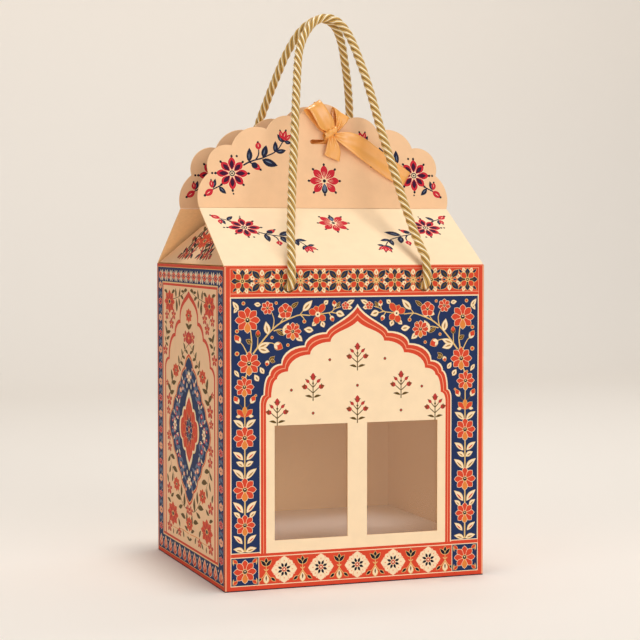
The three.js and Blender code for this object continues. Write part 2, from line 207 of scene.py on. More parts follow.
class HamperInks(bpy.types.PropertyGroup):
    """Inks of the print."""

    cream: colour_property("Cream", "Ground inside the front's arch and of the roof", "#FCE0B9")
    # Peach is the cream ground printed warmer and darker: on the side walls and gussets this is painted
    # shade, for panels turned from the lamps; on the crests it is their ground
    peach_and_shade: colour_property("Peach", "Ground of the crests, gussets and side walls", "#F6CA9E")
    red: colour_property("Red", "Borders, arch bands and wall flowers", "#DA4A30")
    orange: colour_property("Orange", "Lighter petals", "#E4873F")
    salmon: colour_property("Salmon", "Thin lines on the red", "#F0A27C")
    crimson: colour_property("Crimson", "Buds and petal lines on the cream", "#BC3A35")
    rose: colour_property("Rose", "Flowers of the roof and the crests", "#CE2B3A")
    plum: colour_property("Plum", "Petal cores of the roof and the crests", "#3E1A35")
    navy: colour_property("Navy", "Ground of the columns, borders and medallion", "#25345B")
    midnight: colour_property("Midnight", "Leaves of the frieze", "#26304A")
    indigo: colour_property("Indigo", "Leaves of the roof and the crests", "#25283E")
    gold: colour_property("Gold", "Stems and outlines", "#E6BE78")
    bronze: colour_property("Bronze", "Veins of the leaves on the navy", "#B68443")
    pale: colour_property("Pale", "Leaves and veins", "#F9E0B9")
    olive: colour_property("Olive", "Leaves on the cream ground", "#62491F")
    slate: colour_property("Slate", "Leaves of the medallion and sheen of the dark ones", "#67768F")
    dark: colour_property("Dark", "Flower hearts and petal tips", "#231E2A")


class HamperFinish(bpy.types.PropertyGroup):
    """Finishes that aren't printed, and the sizes of the trimmings."""

    board_back: colour_property("Board back", "Unprinted inside of the board", "#FCD09A")
    floor_board: colour_property("Floor board", "Raised floor insert", "#FFF4EC")
    cord: colour_property("Cord", "Yarn of the handles", "#CFA048")
    # Painted highlight on each strand's crown, and painted shade in the groove between two strands
    cord_light: colour_property("Cord light", "Crown of each strand", "#FFF5D4")
    cord_groove: colour_property("Cord groove", "Yarn between two strands", "#5C3B12")
    ribbon: colour_property("Ribbon", "Satin of the bow", "#F3AB52")
    backdrop: colour_property("Backdrop", "Floor and backdrop", "#FCF4EA")
    cord_radius: length_property("Cord radius", "From the cord's middle to a strand's crown", 3.25)
    cord_lay: length_property("Cord lay", "Length of one full turn of a strand", 25.6)
    ribbon_width: length_property("Ribbon width", "Width of the ribbon", 15.0)


def ease(share):
    """Smooth step from 0 to 1."""
    share = np.clip(share, 0, 1)
    return share * share * (3 - 2 * share)


# Drawing in the plane


def ccw(points):
    """The same outline, running anticlockwise."""
    x, y = points[:, 0], points[:, 1]
    area = np.sum(x * np.roll(y, -1) - np.roll(x, -1) * y)
    return points if area > 0 else points[::-1]


def rect(left, bottom, right, top, ink):
    """A rectangle between two corners."""
    return [(np.array([[left, bottom], [right, bottom], [right, top], [left, top]], float), ink)]


def bar(half_width, bottom, top, ink):
    """A rectangle across the middle of a panel."""
    return rect(-half_width, bottom, half_width, top, ink)


def disc(x, y, radius, ink, steps=12):
    """A circle drawn with the given number of corners."""
    angle = TAU * np.arange(steps) / steps
    return [(np.stack([x + radius * np.cos(angle), y + radius * np.sin(angle)], 1), ink)]


def mirrored(shapes):
    """The shapes seen in the line x = 0."""
    return [(points * (-1, 1), ink) for points, ink in shapes]


def both(shapes):
    """The shapes with their mirror images."""
    return shapes + mirrored(shapes)


def moved(shapes, x, y):
    """The shapes with their middle at the given place."""
    return [(points + (x, y), ink) for points, ink in shapes]


def each(motif, *places):
    """The motif at each of the places, which hold its arguments."""
    return [shape for place in places for shape in motif(*place)]


def widened(shapes, x, y, across, up=1.0):
    """The shapes stretched about a place. The side walls' motifs are broader than high, so that they
    look even from a corner of the box."""
    return [((points - (x, y)) * (across, up) + (x, y), ink) for points, ink in shapes]


def leaf(x, y, tip_x, tip_y, width, ink, belly=0.45, bend=0.0, blunt=1.0, steps=7):
    """A leaf or petal from its foot to its tip. Half its width at share t of its length is a power of
    sin(pi t^p), where p puts the widest place at belly. Bend lifts its middle line to one side."""
    share = np.linspace(0, 1, steps)
    half = width / 2 * np.sin(math.pi * share ** (math.log(0.5) / math.log(belly))).clip(0) ** blunt
    along = np.array([tip_x - x, tip_y - y], float)
    across = np.array([-along[1], along[0]])
    reach = np.linalg.norm(along)
    middle = np.array([x, y]) + share[:, None] * along
    middle += bend * np.sin(math.pi * share)[:, None] * across
    side = (half / reach)[:, None] * across
    return [(np.concatenate([middle - side, (middle + side)[-2:0:-1]]), ink)]


def lined_leaf(x, y, tip_x, tip_y, width, ink, edge, core=None, line=0.35, **form):
    """A leaf with an outline in a second ink, and with a core in a third one where it is named."""
    reach = math.hypot(tip_x - x, tip_y - y)
    dx, dy = (tip_x - x) / reach, (tip_y - y) / reach
    wider = (x - line * dx, y - line * dy, tip_x + line * dx, tip_y + line * dy, width + 2 * line)
    shapes = leaf(*wider, edge, **form) + leaf(x, y, tip_x, tip_y, width, ink, **form)
    if core:
        near, far = 0.16 * reach, 0.74 * reach
        shapes += leaf(x + near * dx, y + near * dy, x + far * dx, y + far * dy, 0.3 * width, core, steps=5)
    return shapes


def petals(x, y, count, inner, outer, width, ink, turn=90.0, edge=None, core=None, line=0.3, **form):
    """Petals all round a middle, from the inner to the outer radius. Outlined ones overlap in turn."""
    shapes = []
    for angle in np.radians(turn + 360 / count * np.arange(count)):
        dx, dy = math.cos(angle), math.sin(angle)
        ends = (x + inner * dx, y + inner * dy, x + outer * dx, y + outer * dy)
        if edge:
            shapes += lined_leaf(*ends, width, ink, edge, core, line, **form)
        else:
            shapes += leaf(*ends, width, ink, **form)
    return shapes


def smooth_path(points, per_span=6):
    """Points along a Catmull-Rom curve through the given ones."""
    points = np.asarray(points, float)
    padded = np.concatenate([2 * points[:1] - points[1:2], points, 2 * points[-1:] - points[-2:-1]])
    spans = len(points) - 1
    before, here, there, after = (padded[start:start + spans, None] for start in range(4))
    t = (np.arange(per_span) / per_span)[None, :, None]
    curve = 0.5 * (
        2 * here
        + (there - before) * t
        + (2 * before - 5 * here + 4 * there - after) * t ** 2
        + (3 * here - before - 3 * there + after) * t ** 3
    )
    return np.concatenate([curve.reshape(-1, points.shape[1]), points[-1:]])


def stem(points, width, ink):
    """A line along a smooth path that starts at the given width and ends at 0.65 of it."""
    path = smooth_path(points, 4)
    along = np.gradient(path, axis=0)
    along /= np.linalg.norm(along, axis=1, keepdims=True)
    across = np.stack([-along[:, 1], along[:, 0]], 1)
    half = (width / 2 * np.linspace(1, 0.65, len(path)))[:, None]
    return [(np.concatenate([path - across * half, (path + across * half)[::-1]]), ink)]


def stems(width, ink, *paths):
    """Stems of one width along several paths."""
    return [shape for path in paths for shape in stem(path, width, ink)]


def leaves(ink, edge, *places):
    """Lined leaves from (foot x, foot y, tip x, tip y, width) places, with bronze veins."""
    return [shape for place in places for shape in lined_leaf(*place, ink, edge, "bronze", 0.28)]


def flower(x, y, radius, count=8):
    """A red flower of pointed petals that are lined in a pale ink, round a dark heart. The lowest of
    eight is orange."""
    inner, outer = 0.12 * radius, 0.97 * radius
    width = 1.23 * radius * math.tan(math.pi / count)
    form = {"line": 0.32, "belly": 0.6, "blunt": 0.85}
    shapes = petals(x, y, count, inner, outer, width, "red", edge="pale", **form)
    if count == 8:
        shapes += lined_leaf(x, y - inner, x, y - outer, width, "orange", "pale", **form)
    shapes += disc(x, y, 0.22 * radius, "gold", 14) + disc(x, y, 0.17 * radius, "dark", 12)
    return shapes + disc(x, y + 0.04 * radius, 0.06 * radius, "pale", 8)


def bud(x, y, tip_x, tip_y, width, fill="red", edge="gold", calyx="pale"):
    """A closed bud that stands in a calyx of two small leaves."""
    dx, dy = tip_x - x, tip_y - y
    shapes = lined_leaf(x, y, tip_x, tip_y, width, fill, edge, line=0.3, belly=0.45, blunt=0.8)
    for side in (-0.34, 0.34):
        tip = (x + 0.55 * dx - side * dy, y + 0.55 * dy + side * dx)
        shapes += leaf(x, y, *tip, 0.4 * width, calyx, steps=5)
    return shapes


def berry(x, y, radius, ink="red", edge="gold"):
    """A dot with a ring round it."""
    return disc(x, y, radius, edge, 10) + disc(x, y, 0.66 * radius, ink, 8)


# Prints of the walls

# Middles of the front's columns, frieze and footer
COLUMN_X = 85.2
FRIEZE_LEVEL = 219.8
FRIEZE_STEP = 14.45
FOOTER_LEVEL = 13.9

# Middles of the side walls' upright, upper and lower borders, and of the medallion
SIDE_BORDER_X = 83.0
UPPER_BORDER_LEVEL = 221.2
UPPER_BORDER_STEP = 14.2
LOWER_BORDER_LEVEL = 9.4
LOWER_BORDER_STEP = 13.8
MEDALLION_LEVEL = 106.0

# A painted contact shadow: a dark line along the foot of every wall, where the box meets the floor
FOOT_SHADOW_LINE = 0.7


def arch(points, spring, bottom, share):
    """Outline of a cusped arch. The points are (inner, outer) pairs of the apex, two ogee handles and
    the cusps down one side, and share goes from the inner edge, 0, to the outer edge, 1. From the
    apex an ogee runs to the first cusp, and a quarter ellipse from each cusp to the next."""
    pick = [(1 - share) * np.array(inner, float) + share * np.array(outer, float) for inner, outer in points]
    t = np.linspace(0, 1, 12, endpoint=False)[:, None]
    apex, lean, swell, first = pick[:4]
    ogee = (1 - t) ** 3 * apex + 3 * t * (1 - t) ** 2 * lean + 3 * t * t * (1 - t) * swell + t ** 3 * first
    leg = (1 - share) * spring[0] + share * spring[1]
    cusps = np.array(pick[3:] + [np.array([leg, pick[-1][1] - spring[2]])])
    angle = np.linspace(0, math.pi / 2, 7, endpoint=False)[None, :]
    x0, y0, x1, y1 = (part[:, None] for part in (cusps[:-1, 0], cusps[:-1, 1], cusps[1:, 0], cusps[1:, 1]))
    lobes = np.stack([x0 + (x1 - x0) * np.sin(angle), y1 + (y0 - y1) * np.cos(angle)], 2).reshape(-1, 2)
    right = np.concatenate([ogee, lobes, cusps[-1:], [[leg, bottom]]])
    return np.concatenate([right, (right * (-1, 1))[:0:-1]])


FRONT_ARCH = (
    ((0, 190.5), (0, 200.6)), ((6, 184), (6, 191)), ((20, 183.5), (22.2, 187)),
    ((20.7, 175.9), (23.4, 181.6)), ((36.2, 167.1), (39.7, 172.5)), ((53, 155.4), (57.2, 160)),
    ((61.2, 150.1), (66.2, 152.6)), ((65.5, 137.3), (70.2, 138.9)),
)
SIDE_ARCH = (
    ((0, 205.6), (0, 210.4)), ((8, 201), (9, 205)), ((25.5, 199), (28, 201)),
    ((23, 185.4), (25.4, 188)), ((37.6, 174.6), (40.4, 177)), ((55.4, 155.8), (58.4, 157.4)),
)


def frieze_star(x, y):
    """Frieze motif of four dark blue leaves about a gold star, with pale blossoms between them."""
    shapes = []
    for side in (-1, 1):
        for level in (-1, 1):
            middle = (x + 6.9 * side, y + 2.5 * level)
            shapes += petals(*middle, 5, 0, 2.1, 1.7, "pale", 90 * level, "gold", None, 0.14)
            shapes += disc(*middle, 0.6, "red", 6)
        foot, tip = y + 3.6 * side, y + 8 * side
        shapes += lined_leaf(x, foot, x, tip, 3.2, "pale", "gold", "orange", 0.2, blunt=0.8)
        shapes += lined_leaf(x + 2.6 * side, y, x + 5.6 * side, y, 1.5, "navy", "gold", line=0.25, steps=5)
    shapes += petals(x, y, 4, 1.4, 10.2, 4.2, "midnight", 45, "gold", "olive", 0.35, belly=0.55)
    shapes += petals(x, y, 8, 0, 3.6, 1.1, "gold", steps=4)
    return shapes + disc(x, y, 0.6, "dark", 6)


def frieze_bloom(x, y):
    """Frieze motif of four red petals and four dark blue leaves about a gold ring."""
    shapes = []
    for side in (-1, 1):
        for level in (-1, 1):
            foot, tip = (x + 2.2 * side, y + 5.2 * level), (x + 3.8 * side, y + 8.6 * level)
            shapes += lined_leaf(*foot, *tip, 2.6, "pale", "gold", "orange", 0.2, blunt=0.8)
            foot, tip = (x + 4.2 * side, y + 4.6 * level), (x + 7.2 * side, y + 7.6 * level)
            shapes += lined_leaf(*foot, *tip, 1.9, "midnight", "gold", line=0.22, steps=5)
    shapes += petals(x, y, 4, 1.2, 8.2, 3.9, "midnight", 90, "gold", "olive", 0.35, belly=0.58)
    shapes += petals(x, y, 4, 1.0, 6.6, 4.0, "red", 45, "gold", None, 0.4, belly=0.6, blunt=0.8)
    return shapes + disc(x, y, 1.9, "gold", 12) + disc(x, y, 1.2, "dark", 10) + disc(x, y, 0.6, "gold", 6)


COLUMN_LEAVES = (
    # (foot level, foot offset, tip level, tip offset, width, core) of the pairs on the column's stem
    (28.2, 0.6, 30.4, 8.4, 3.3, "bronze"), (34, 2.0, 39.8, 8.2, 3.0, "red"),
    (52.4, 3.6, 56.6, 8.2, 2.8, "bronze"), (56, 1.4, 63.8, 8.6, 3.7, "red"),
    (80, 1.0, 87.1, 8.7, 3.7, "bronze"), (89, 0.8, 92.2, 6.2, 3.2, "bronze"),
    (93.6, 1.4, 99.4, 8.4, 3.5, "red"), (116.4, 1.0, 121.9, 8.2, 3.7, "bronze"),
)


def column():
    """Flowering stem of the right column."""
    x = COLUMN_X
    shapes = stems(1.1, "gold", [(x, 28), (x, 60), (x, 100), (85.1, 122), (x, 140)],
                   [(84.8, 151), (83.2, 156), (82.4, 160)])
    for foot, offset, tip, reach, width, core in COLUMN_LEAVES:
        for side in (-1, 1):
            shapes += lined_leaf(x + offset * side, foot, x + reach * side, tip, width, "pale", "gold", core,
                                 0.28, bend=0.06 * side)
    for side in (-1, 1):
        shapes += stem([(x, 129), (x + 2.6 * side, 131.6), (x + 5 * side, 134.4)], 0.7, "olive")
        shapes += bud(x + 4.6 * side, 133.6, x + 7.6 * side, 138.8, 3.6)
        shapes += lined_leaf(x, 123.6, x + 5.6 * side, 129.2, 3.8, "red", "gold", line=0.3, belly=0.6)
        shapes += lined_leaf(x + 3 * side, 124.6, x + 6.4 * side, 124.4, 2, "pale", "gold", line=0.22)
    shapes += lined_leaf(x, 124.2, 85.1, 131.6, 3.2, "orange", "gold", line=0.3, belly=0.6)
    return shapes + each(flower, (x, 47, 7.8), (x, 72.3, 8.7), (x, 109, 8.5), (85.4, 145.1, 7.3),
                         (81.9, 161.6, 8.7))


def vine():
    """Vine from the right column over the arch, up to the apex."""
    shapes = stems(
        1.15, "gold",
        [(79, 168.4), (71.5, 178), (64.3, 185.7), (57.6, 190.5), (49.4, 193.9), (43.7, 195.5), (36, 195)],
        [(81, 169), (80, 177), (80.8, 185)],
    )
    shapes += stems(
        0.8, "gold", [(83, 168), (86, 174), (88.4, 177)], [(64.4, 185.5), (63.3, 192), (65, 197.4)],
        [(59, 189.6), (56, 194), (55, 197)], [(63.6, 184.4), (59, 185.6), (54, 185)],
        [(44, 195.4), (41.5, 198.6)], [(43.4, 195.4), (41, 193), (40.6, 191)],
        [(71.4, 174.4), (66, 176), (62, 174.6)], [(75.6, 173), (75.4, 180)],
        [(29, 195.9), (21, 197), (17.4, 199.4), (12.6, 201)], [(20.4, 197.2), (17, 196.4), (14, 195.8)],
        [(18.4, 199), (17.6, 202.4)], [(22, 196.8), (20, 193.6)],
    )
    shapes += leaves(
        "pale", "gold",
        (67.8, 182, 69.4, 191, 4.4), (75.4, 172.6, 66.4, 176.2, 3.8), (75, 172.2, 66.8, 169.8, 4.2),
        (41.7, 198.2, 34.7, 205.6, 4.3), (56, 181.6, 52.4, 190, 4.8), (47, 181, 42.2, 176.9, 3.8),
        (56, 196, 60.2, 194.4, 3.6), (54, 196, 52.8, 192.6, 3.8), (34, 184.3, 40.8, 185.3, 4.0),
        (31.6, 190.4, 34.6, 187.6, 3), (27.4, 190.4, 25.8, 186.4, 3.4), (25.6, 203, 22.6, 205.4, 3),
        (16.4, 196.8, 10.2, 194.8, 4.4), (8.6, 202.6, 2.6, 205.6, 3.0), (8, 200.4, 4.2, 200.2, 2.8),
        (89.6, 199.6, 93.8, 205.4, 3.0), (90.6, 201.2, 92.9, 197.6, 2.2), (73.4, 203, 78, 203.6, 2.8),
        (71, 154.4, 73.8, 158.8, 3.0), (92.6, 157, 89.4, 152.4, 2.4), (75, 149.2, 77.8, 153.6, 3.4),
    )
    shapes += leaves(
        "olive", "gold",
        (50.6, 200.4, 45.2, 204.6, 2.6), (61.4, 184.8, 56, 181, 2.4), (80, 176, 84, 178.6, 3),
        (16, 200.4, 13.6, 204.4, 2), (67, 163, 63, 166.4, 2.6), (66, 163.6, 62.8, 162.4, 2.4),
    )
    for tip_x, tip_y in ((32.4, 201.6), (25.4, 203.2), (24.8, 191.4), (31.8, 188.8), (37, 198.6)):
        shapes += lined_leaf(30.4, 195.6, tip_x, tip_y, 4.6, "red", "gold", line=0.3, belly=0.62, blunt=0.75)
    shapes += disc(30.4, 195.7, 2, "pale") + disc(30.4, 195.7, 0.7, "dark", 8)
    shapes += each(flower, (83, 192.3, 9.4), (68.2, 200.8, 4.9, 7), (54.8, 198.4, 5.6, 5), (49.3, 183.8, 6.5),
                   (9.2, 201.6, 2.9, 5))
    shapes += each(bud, (88.6, 176.4, 92.2, 182, 4), (75.4, 180, 75.2, 185.2, 3.2, "red", "gold", "olive"),
                   (17.6, 201, 18, 205.4, 3), (63.2, 175, 57, 172, 5.6), (20.4, 194.4, 18.6, 190.6, 2.8),
                   (68, 163.4, 69, 159.8, 2.8))
    return shapes + each(
        berry, (40.6, 190.8, 1.5), (64.8, 179.8, 1.2), (61.7, 204.2, 1.2), (90.8, 184.6, 1.5),
        (86, 204.2, 1.4), (53, 174.2, 1.3), (90.8, 168.8, 1.7), (46.4, 188.6, 1.0), (86.6, 152, 1.0),
        (77, 139, 1.0),
    )


def sprig(x, y):
    """A small standing sprig: stem, five buds and two leaves, 17 wide and 20.5 high."""
    half = stems(0.75, "olive", [(0, -4.5), (3, -2), (5, -0.2)], [(0, -0.5), (2, 1.6), (3.2, 3.2)])
    half += leaf(0.4, -7.8, 6.2, -6.4, 1.8, "olive", bend=0.08)
    half += leaf(4.2, -0.6, 8.6, 0.6, 3.4, "crimson", 0.42, blunt=0.75)
    for tip_x, tip_y in ((6.6, 2.4), (8.8, 0.7), (7.2, -1.8)):
        half += leaf(6.2, 0.2, tip_x, tip_y, 0.9, "olive", steps=4)
    half += leaf(2.8, 2.8, 5.6, 5.4, 2.3, "crimson", 0.45, blunt=0.8)
    half += leaf(4.8, 4.6, 6, 5.8, 0.8, "olive", steps=4)
    shapes = stems(0.8, "olive", [(0, -10.2), (0, -2), (0, 5)]) + both(half)
    shapes += leaf(0, 4.4, 0, 10, 3.7, "crimson", 0.42, blunt=0.75) + disc(0, 2.4, 0.8, "olive", 8)
    for side in (-1, 1):
        shapes += leaf(0.6 * side, 6.4, 2.6 * side, 7.6, 0.9, "olive", steps=4)
    return moved(shapes, x, y)


def footer_rosette(x, y):
    """A pale rosette of lined petals on the red band, with a dark star in it."""
    shapes = petals(x, y, 8, 2, 8.6, 4.6, "pale", 22.5, belly=0.62, blunt=0.7)
    shapes += petals(x, y, 4, 2, 8.4, 6.4, "pale", 45, "salmon", None, 0.3, belly=0.6, blunt=0.75)
    shapes += petals(x, y, 4, 2, 9.6, 6.2, "pale", 0, "salmon", None, 0.3, belly=0.58, blunt=0.85)
    shapes += petals(x, y, 8, 5.4, 6.9, 0.9, "salmon", 0, steps=4) + disc(x, y, 4.6, "pale", 20)
    shapes += petals(x, y, 8, 1.6, 5.1, 1.9, "dark", 22.5, blunt=0.8, steps=5) + disc(x, y, 1.9, "salmon", 12)
    return shapes + disc(x, y, 1.4, "crimson", 10) + disc(x, y, 0.7, "pale", 8)


def footer_palmette(x, y):
    """A palmette between two rosettes: dark leaves above and a pale drop with two leaves below."""
    shapes = stem([(0, -7), (0, 8)], 0.6, "gold")
    for side in (-1, 1):
        shapes += stem([(0, -1), (2 * side, -4), (5.2 * side, -7)], 0.6, "gold")
    shapes += lined_leaf(0, 3.6, 0, 9, 2.4, "dark", "gold", line=0.4)
    for side in (-1, 1):
        shapes += lined_leaf(0, 3, 4 * side, 7.4, 2.3, "dark", "gold", line=0.4)
        shapes += lined_leaf(3.6 * side, -5.4, 7 * side, -8, 1.9, "dark", "gold", line=0.4)
        shapes += leaf(0, -0.4, 2 * side, 1.2, 0.8, "gold", steps=5)
    shapes += lined_leaf(0, -2.6, 0, -9.4, 3.8, "pale", "gold", "olive", 0.5, belly=0.58, blunt=0.8)
    return moved(shapes, x, y)


def footer_corner():
    """Navy square at the right end of the footer: a flower, and a bud with a gold leaf in each corner."""
    shapes = rect(74.7, 3.5, 95.9, 24.3, "pale") + rect(75.2, 4.1, 95.3, 23.7, "navy")
    for side_x, side_y in ((-1, -1), (1, -1), (1, 1), (-1, 1)):
        x, y = COLUMN_X + 9 * side_x, FOOTER_LEVEL + 8.8 * side_y
        shapes += lined_leaf(x, y, x - 3.6 * side_x, y - 2.6 * side_y, 2.3, "red", "gold", line=0.3)
        shapes += leaf(x, y, x - 0.6 * side_x, y - 4.2 * side_y, 1, "gold", steps=5)
    return shapes + flower(COLUMN_X, FOOTER_LEVEL, 8.6)


def front_print():
    """Print of the front and back walls, from the ground up."""
    end = WIDTH / 2
    shapes = each(bar, (end, 0, WALL, "red"), (95.9, 3.5, 228.6, "salmon"), (95.5, 3.9, 228.2, "red"),
                  (95.5, 210.7, 211.2, "salmon"), (95.9, 26.8, 208.6, "pale"), (95.1, 27.4, 207.7, "navy"))
    shapes += both(column() + vine())
    for share, ink in ((1.22, "pale"), (1.0, "red"), (0.55, "salmon"), (0.43, "red"), (0, "cream")):
        shapes += [(arch(FRONT_ARCH, (69.4, 73.3, 6.6), 26.2, share), ink)]
    shapes += each(sprig, (0, 165), (-34, 144), (34, 144), (-61, 126.6), (61, 126.6), (0, 127))
    for x, y in ((21.3, 163), (50.4, 142), (34, 125)):
        shapes += both(berry(x, y, 1.1, "crimson", "olive"))
    shapes += berry(0, 144, 1.1, "crimson", "olive")
    for step in range(-6, 7):
        shapes += (frieze_star if step % 2 else frieze_bloom)(FRIEZE_STEP * step, FRIEZE_LEVEL)

    shapes += bar(95.9, 3.5, 24.3, "pale") + bar(95.3, 4.1, 23.7, "red")
    for x in (-55.9, -28, 0, 28, 55.9):
        shapes += footer_rosette(x, FOOTER_LEVEL)
    for x in (-69.4, -42, -14, 14, 42, 69.4):
        shapes += footer_palmette(x, FOOTER_LEVEL)
    # The salmon strips at both ends of the wall are a painted highlight along the rounded corner folds
    shapes += both(footer_corner() + rect(98.8, 0, end, WALL, "salmon"))
    # The dark bar along the foot is a painted contact shadow
    return shapes + bar(end, 0, FOOT_SHADOW_LINE, "dark")


def spray(ink, *places):
    """Plain leaves from (middle x, middle y, turn, length) places."""
    shapes = []
    for x, y, turn, length in places:
        dx, dy = 0.6 * length * math.cos(math.radians(turn)), 0.6 * length * math.sin(math.radians(turn))
        shapes += widened(leaf(x - dx, y - dy, x + dx, y + dy, 0.46 * length, ink, bend=0.06), x, y, 1.45)
    return shapes


def full_flower(x, y, radius):
    """A flower of eight parted petals on the ground of a side wall, with short ones between long ones."""
    form = {"belly": 0.6, "blunt": 0.8}
    shapes = petals(x, y, 8, 0, 0.82 * radius, 0.4 * radius, "crimson", 112.5, **form)
    shapes += petals(x, y, 8, 0, radius, 0.46 * radius, "red", 90, "orange", "crimson", 0.22, **form)
    shapes += disc(x, y, 0.24 * radius, "gold", 10) + disc(x, y, 0.16 * radius, "dark", 8)
    return widened(shapes, x, y, 1.45, 0.88)


def small_flower(x, y, radius, count=5):
    """A small flower of crimson petals with red streaks."""
    shapes = petals(x, y, count, 0, 1.2 * radius, 0.72 * radius, "crimson", belly=0.6, blunt=0.8, steps=5)
    shapes += petals(x, y, count, 0, 0.9 * radius, 0.4 * radius, "red", steps=4)
    return widened(shapes + disc(x, y, 0.2 * radius, "gold", 6), x, y, 1.4, 0.95)


def lozenge(half_width, half_height, lobes, depth):
    """Outline of a lozenge whose four sides are scalloped with round lobes, pointed at its four ends."""
    corners = np.array([[half_width, 0], [0, half_height], [-half_width, 0], [0, -half_height]], float)
    t = np.linspace(0, 1, 6 * lobes, endpoint=False)[:, None]
    sides = []
    for here, there in zip(corners, np.roll(corners, -1, 0)):
        along = there - here
        outward = np.array([along[1], -along[0]]) / np.linalg.norm(along)
        lift = depth * (np.abs(np.sin(math.pi * lobes * t)) + 0.9 * np.sin(math.pi * t))
        sides.append(here + t * along + outward * lift)
    return np.concatenate(sides)


def border_flower(x, y, ink="red"):
    """Small flower of the narrow navy borders."""
    shapes = petals(x, y, 6, 0, 3.4, 2.4, ink, 30, "pale", None, 0.2, belly=0.6, blunt=0.8, steps=5)
    return widened(shapes + disc(x, y, 0.8, "plum", 8), x, y, 1.5, 0.92)


def lotus(x, y):
    """Pointed bud of the lower side border."""
    shapes = lined_leaf(x, y - 4.6, x, y + 5, 8.8, "salmon", "pale", line=0.5, belly=0.34, blunt=0.8)
    shapes += leaf(x, y - 4, x, y + 2.6, 4.4, "red", 0.4, blunt=0.8)
    for side in (-1, 1):
        shapes += leaf(x, y - 4.4, x + 4.6 * side, y - 0.6, 2.4, "red", steps=5)
    return shapes + leaf(x, y - 2.8, x, y + 1, 1.4, "pale", steps=5)


def side_borders():
    """Frame lines and flowered navy borders of the side walls."""
    # The peach grounds between the borders are painted shade: the cream ground, warmer and darker
    shapes = each(bar, (DEPTH / 2, 0, WALL, "red"), (89.8, 3.4, 227.8, "gold"), (89.4, 3.8, 227.4, "navy"),
                  (76.8, 15.4, 216.2, "gold"), (76.3, 15.9, 215.7, "peach_and_shade"), (75.6, 16.4, 215.2, "red"),
                  (73.4, 18.2, 213.4, "peach_and_shade"))
    for step, level in enumerate(np.arange(21, 214, 12.8)):
        between = level + 6.4
        right = border_flower(SIDE_BORDER_X, level, "salmon" if step % 2 else "rose")
        sprays = spray("slate", (80.4, between, 60, 3.6), (85.6, between, 120, 3.6), (83, between, 90, 3))
        dots = disc(80.2, level + 4.4, 0.6, "pale", 6) + disc(85.8, level + 8.4, 0.6, "rose", 6)
        shapes += both(right) + both(sprays) + both(dots)
    for step in range(-5, 6):
        shapes += border_flower(UPPER_BORDER_STEP * step, UPPER_BORDER_LEVEL)
    for step in range(-6, 6):
        x = UPPER_BORDER_STEP * (step + 0.5)
        shapes += spray("pale", (x - 2, 223.6, 110, 4), (x + 2, 223.6, 70, 4), (x - 2, 218.8, 70, 4),
                        (x + 2, 218.8, 110, 4))
        shapes += disc(x, UPPER_BORDER_LEVEL, 1, "salmon", 8)
    shapes += both(border_flower(SIDE_BORDER_X, UPPER_BORDER_LEVEL))
    for step in range(-6, 7):
        shapes += lotus(LOWER_BORDER_STEP * step, LOWER_BORDER_LEVEL)
    for step in range(-6, 6):
        x = LOWER_BORDER_STEP * (step + 0.5)
        shapes += spray("slate", (x, 7.4, 90, 4)) + disc(x, 12.6, 0.9, "pale", 6)
    return shapes


def medallion():
    """Scalloped navy lozenge with a lobed red flower in it, about its own middle."""
    rings = ((58.6, 57.4, "red"), (56.6, 55.4, "gold"), (55.8, 54.6, "navy"))
    shapes = [(lozenge(half_width, half_height, 5, 2.0), ink) for half_width, half_height, ink in rings]
    quarter = spray(
        "slate", (37, 9, 30, 8), (27, 25, 70, 8), (31, 16, 10, 7), (18, 32, 100, 8), (46, 5, 20, 6),
        (8, 43, 60, 6), (29, 10, 80, 6), (13, 29, 20, 6), (21, 25, 150, 6), (38, 14, 120, 5),
        (23, 33, 40, 5), (11, 38, 150, 5),
    )
    quarter += spray("pale", (34, 20, 40, 4), (27, 19.5, 110, 4), (19, 38, 60, 3.6), (43, 10, 60, 3.6),
                     (33, 6, 10, 4), (6, 33, 90, 4))
    for x, y, radius in (
        (34, 13, 2.2), (23, 28.5, 2.4), (14.5, 35, 2), (29.5, 22.5, 1.8), (41, 4.6, 1.8), (5, 40, 1.8),
        (47, 3, 1.4), (9, 46, 1.4), (38, 8.6, 1.5), (25, 23, 1.5), (17, 30, 1.6), (30.6, 7, 1.5),
    ):
        bloom = petals(x, y, 5, 0, radius, 0.9 * radius, "rose" if x > y else "salmon", steps=4)
        quarter += widened(bloom + disc(x, y, 0.35 * radius, "pale", 6), x, y, 1.5)
    upper = both(quarter)
    shapes += upper + [(points * (1, -1), ink) for points, ink in upper]
    for x, y in ((-40, 0), (40, 0), (0, -40), (0, 40)):
        shapes += petals(x, y, 8, 0, 5.6, 2.4, "pale", steps=5)
        shapes += disc(x, y, 1.6, "crimson", 8) + disc(x, y, 0.7, "gold", 6)
    lobes = ((27.4, 23, "gold", 31), (26.6, 22.2, "pale", 30), (23.4, 19.4, "red", 25))
    for half_width, half_height, ink, tip in lobes:
        shapes += [(lozenge(half_width, half_height, 3, 2.6), ink)]
        for side in (-1, 1):
            shapes += leaf(0, 10 * side, 0, tip * side, 0.7 * half_width, ink, 0.4, blunt=1.1)
    shapes += petals(0, 0, 8, 7, 20, 7, "red", 0, "orange", None, 0.5, belly=0.6)
    shapes += petals(0, 0, 8, 2, 14, 5.4, "crimson", 22.5, "gold", "dark", 0.3)
    shapes += petals(0, 0, 8, 1, 9, 4.4, "navy", 0, "pale", None, 0.3, belly=0.6)
    return shapes + disc(0, 0, 2.8, "crimson", 12) + disc(0, 0, 1.3, "gold", 8)


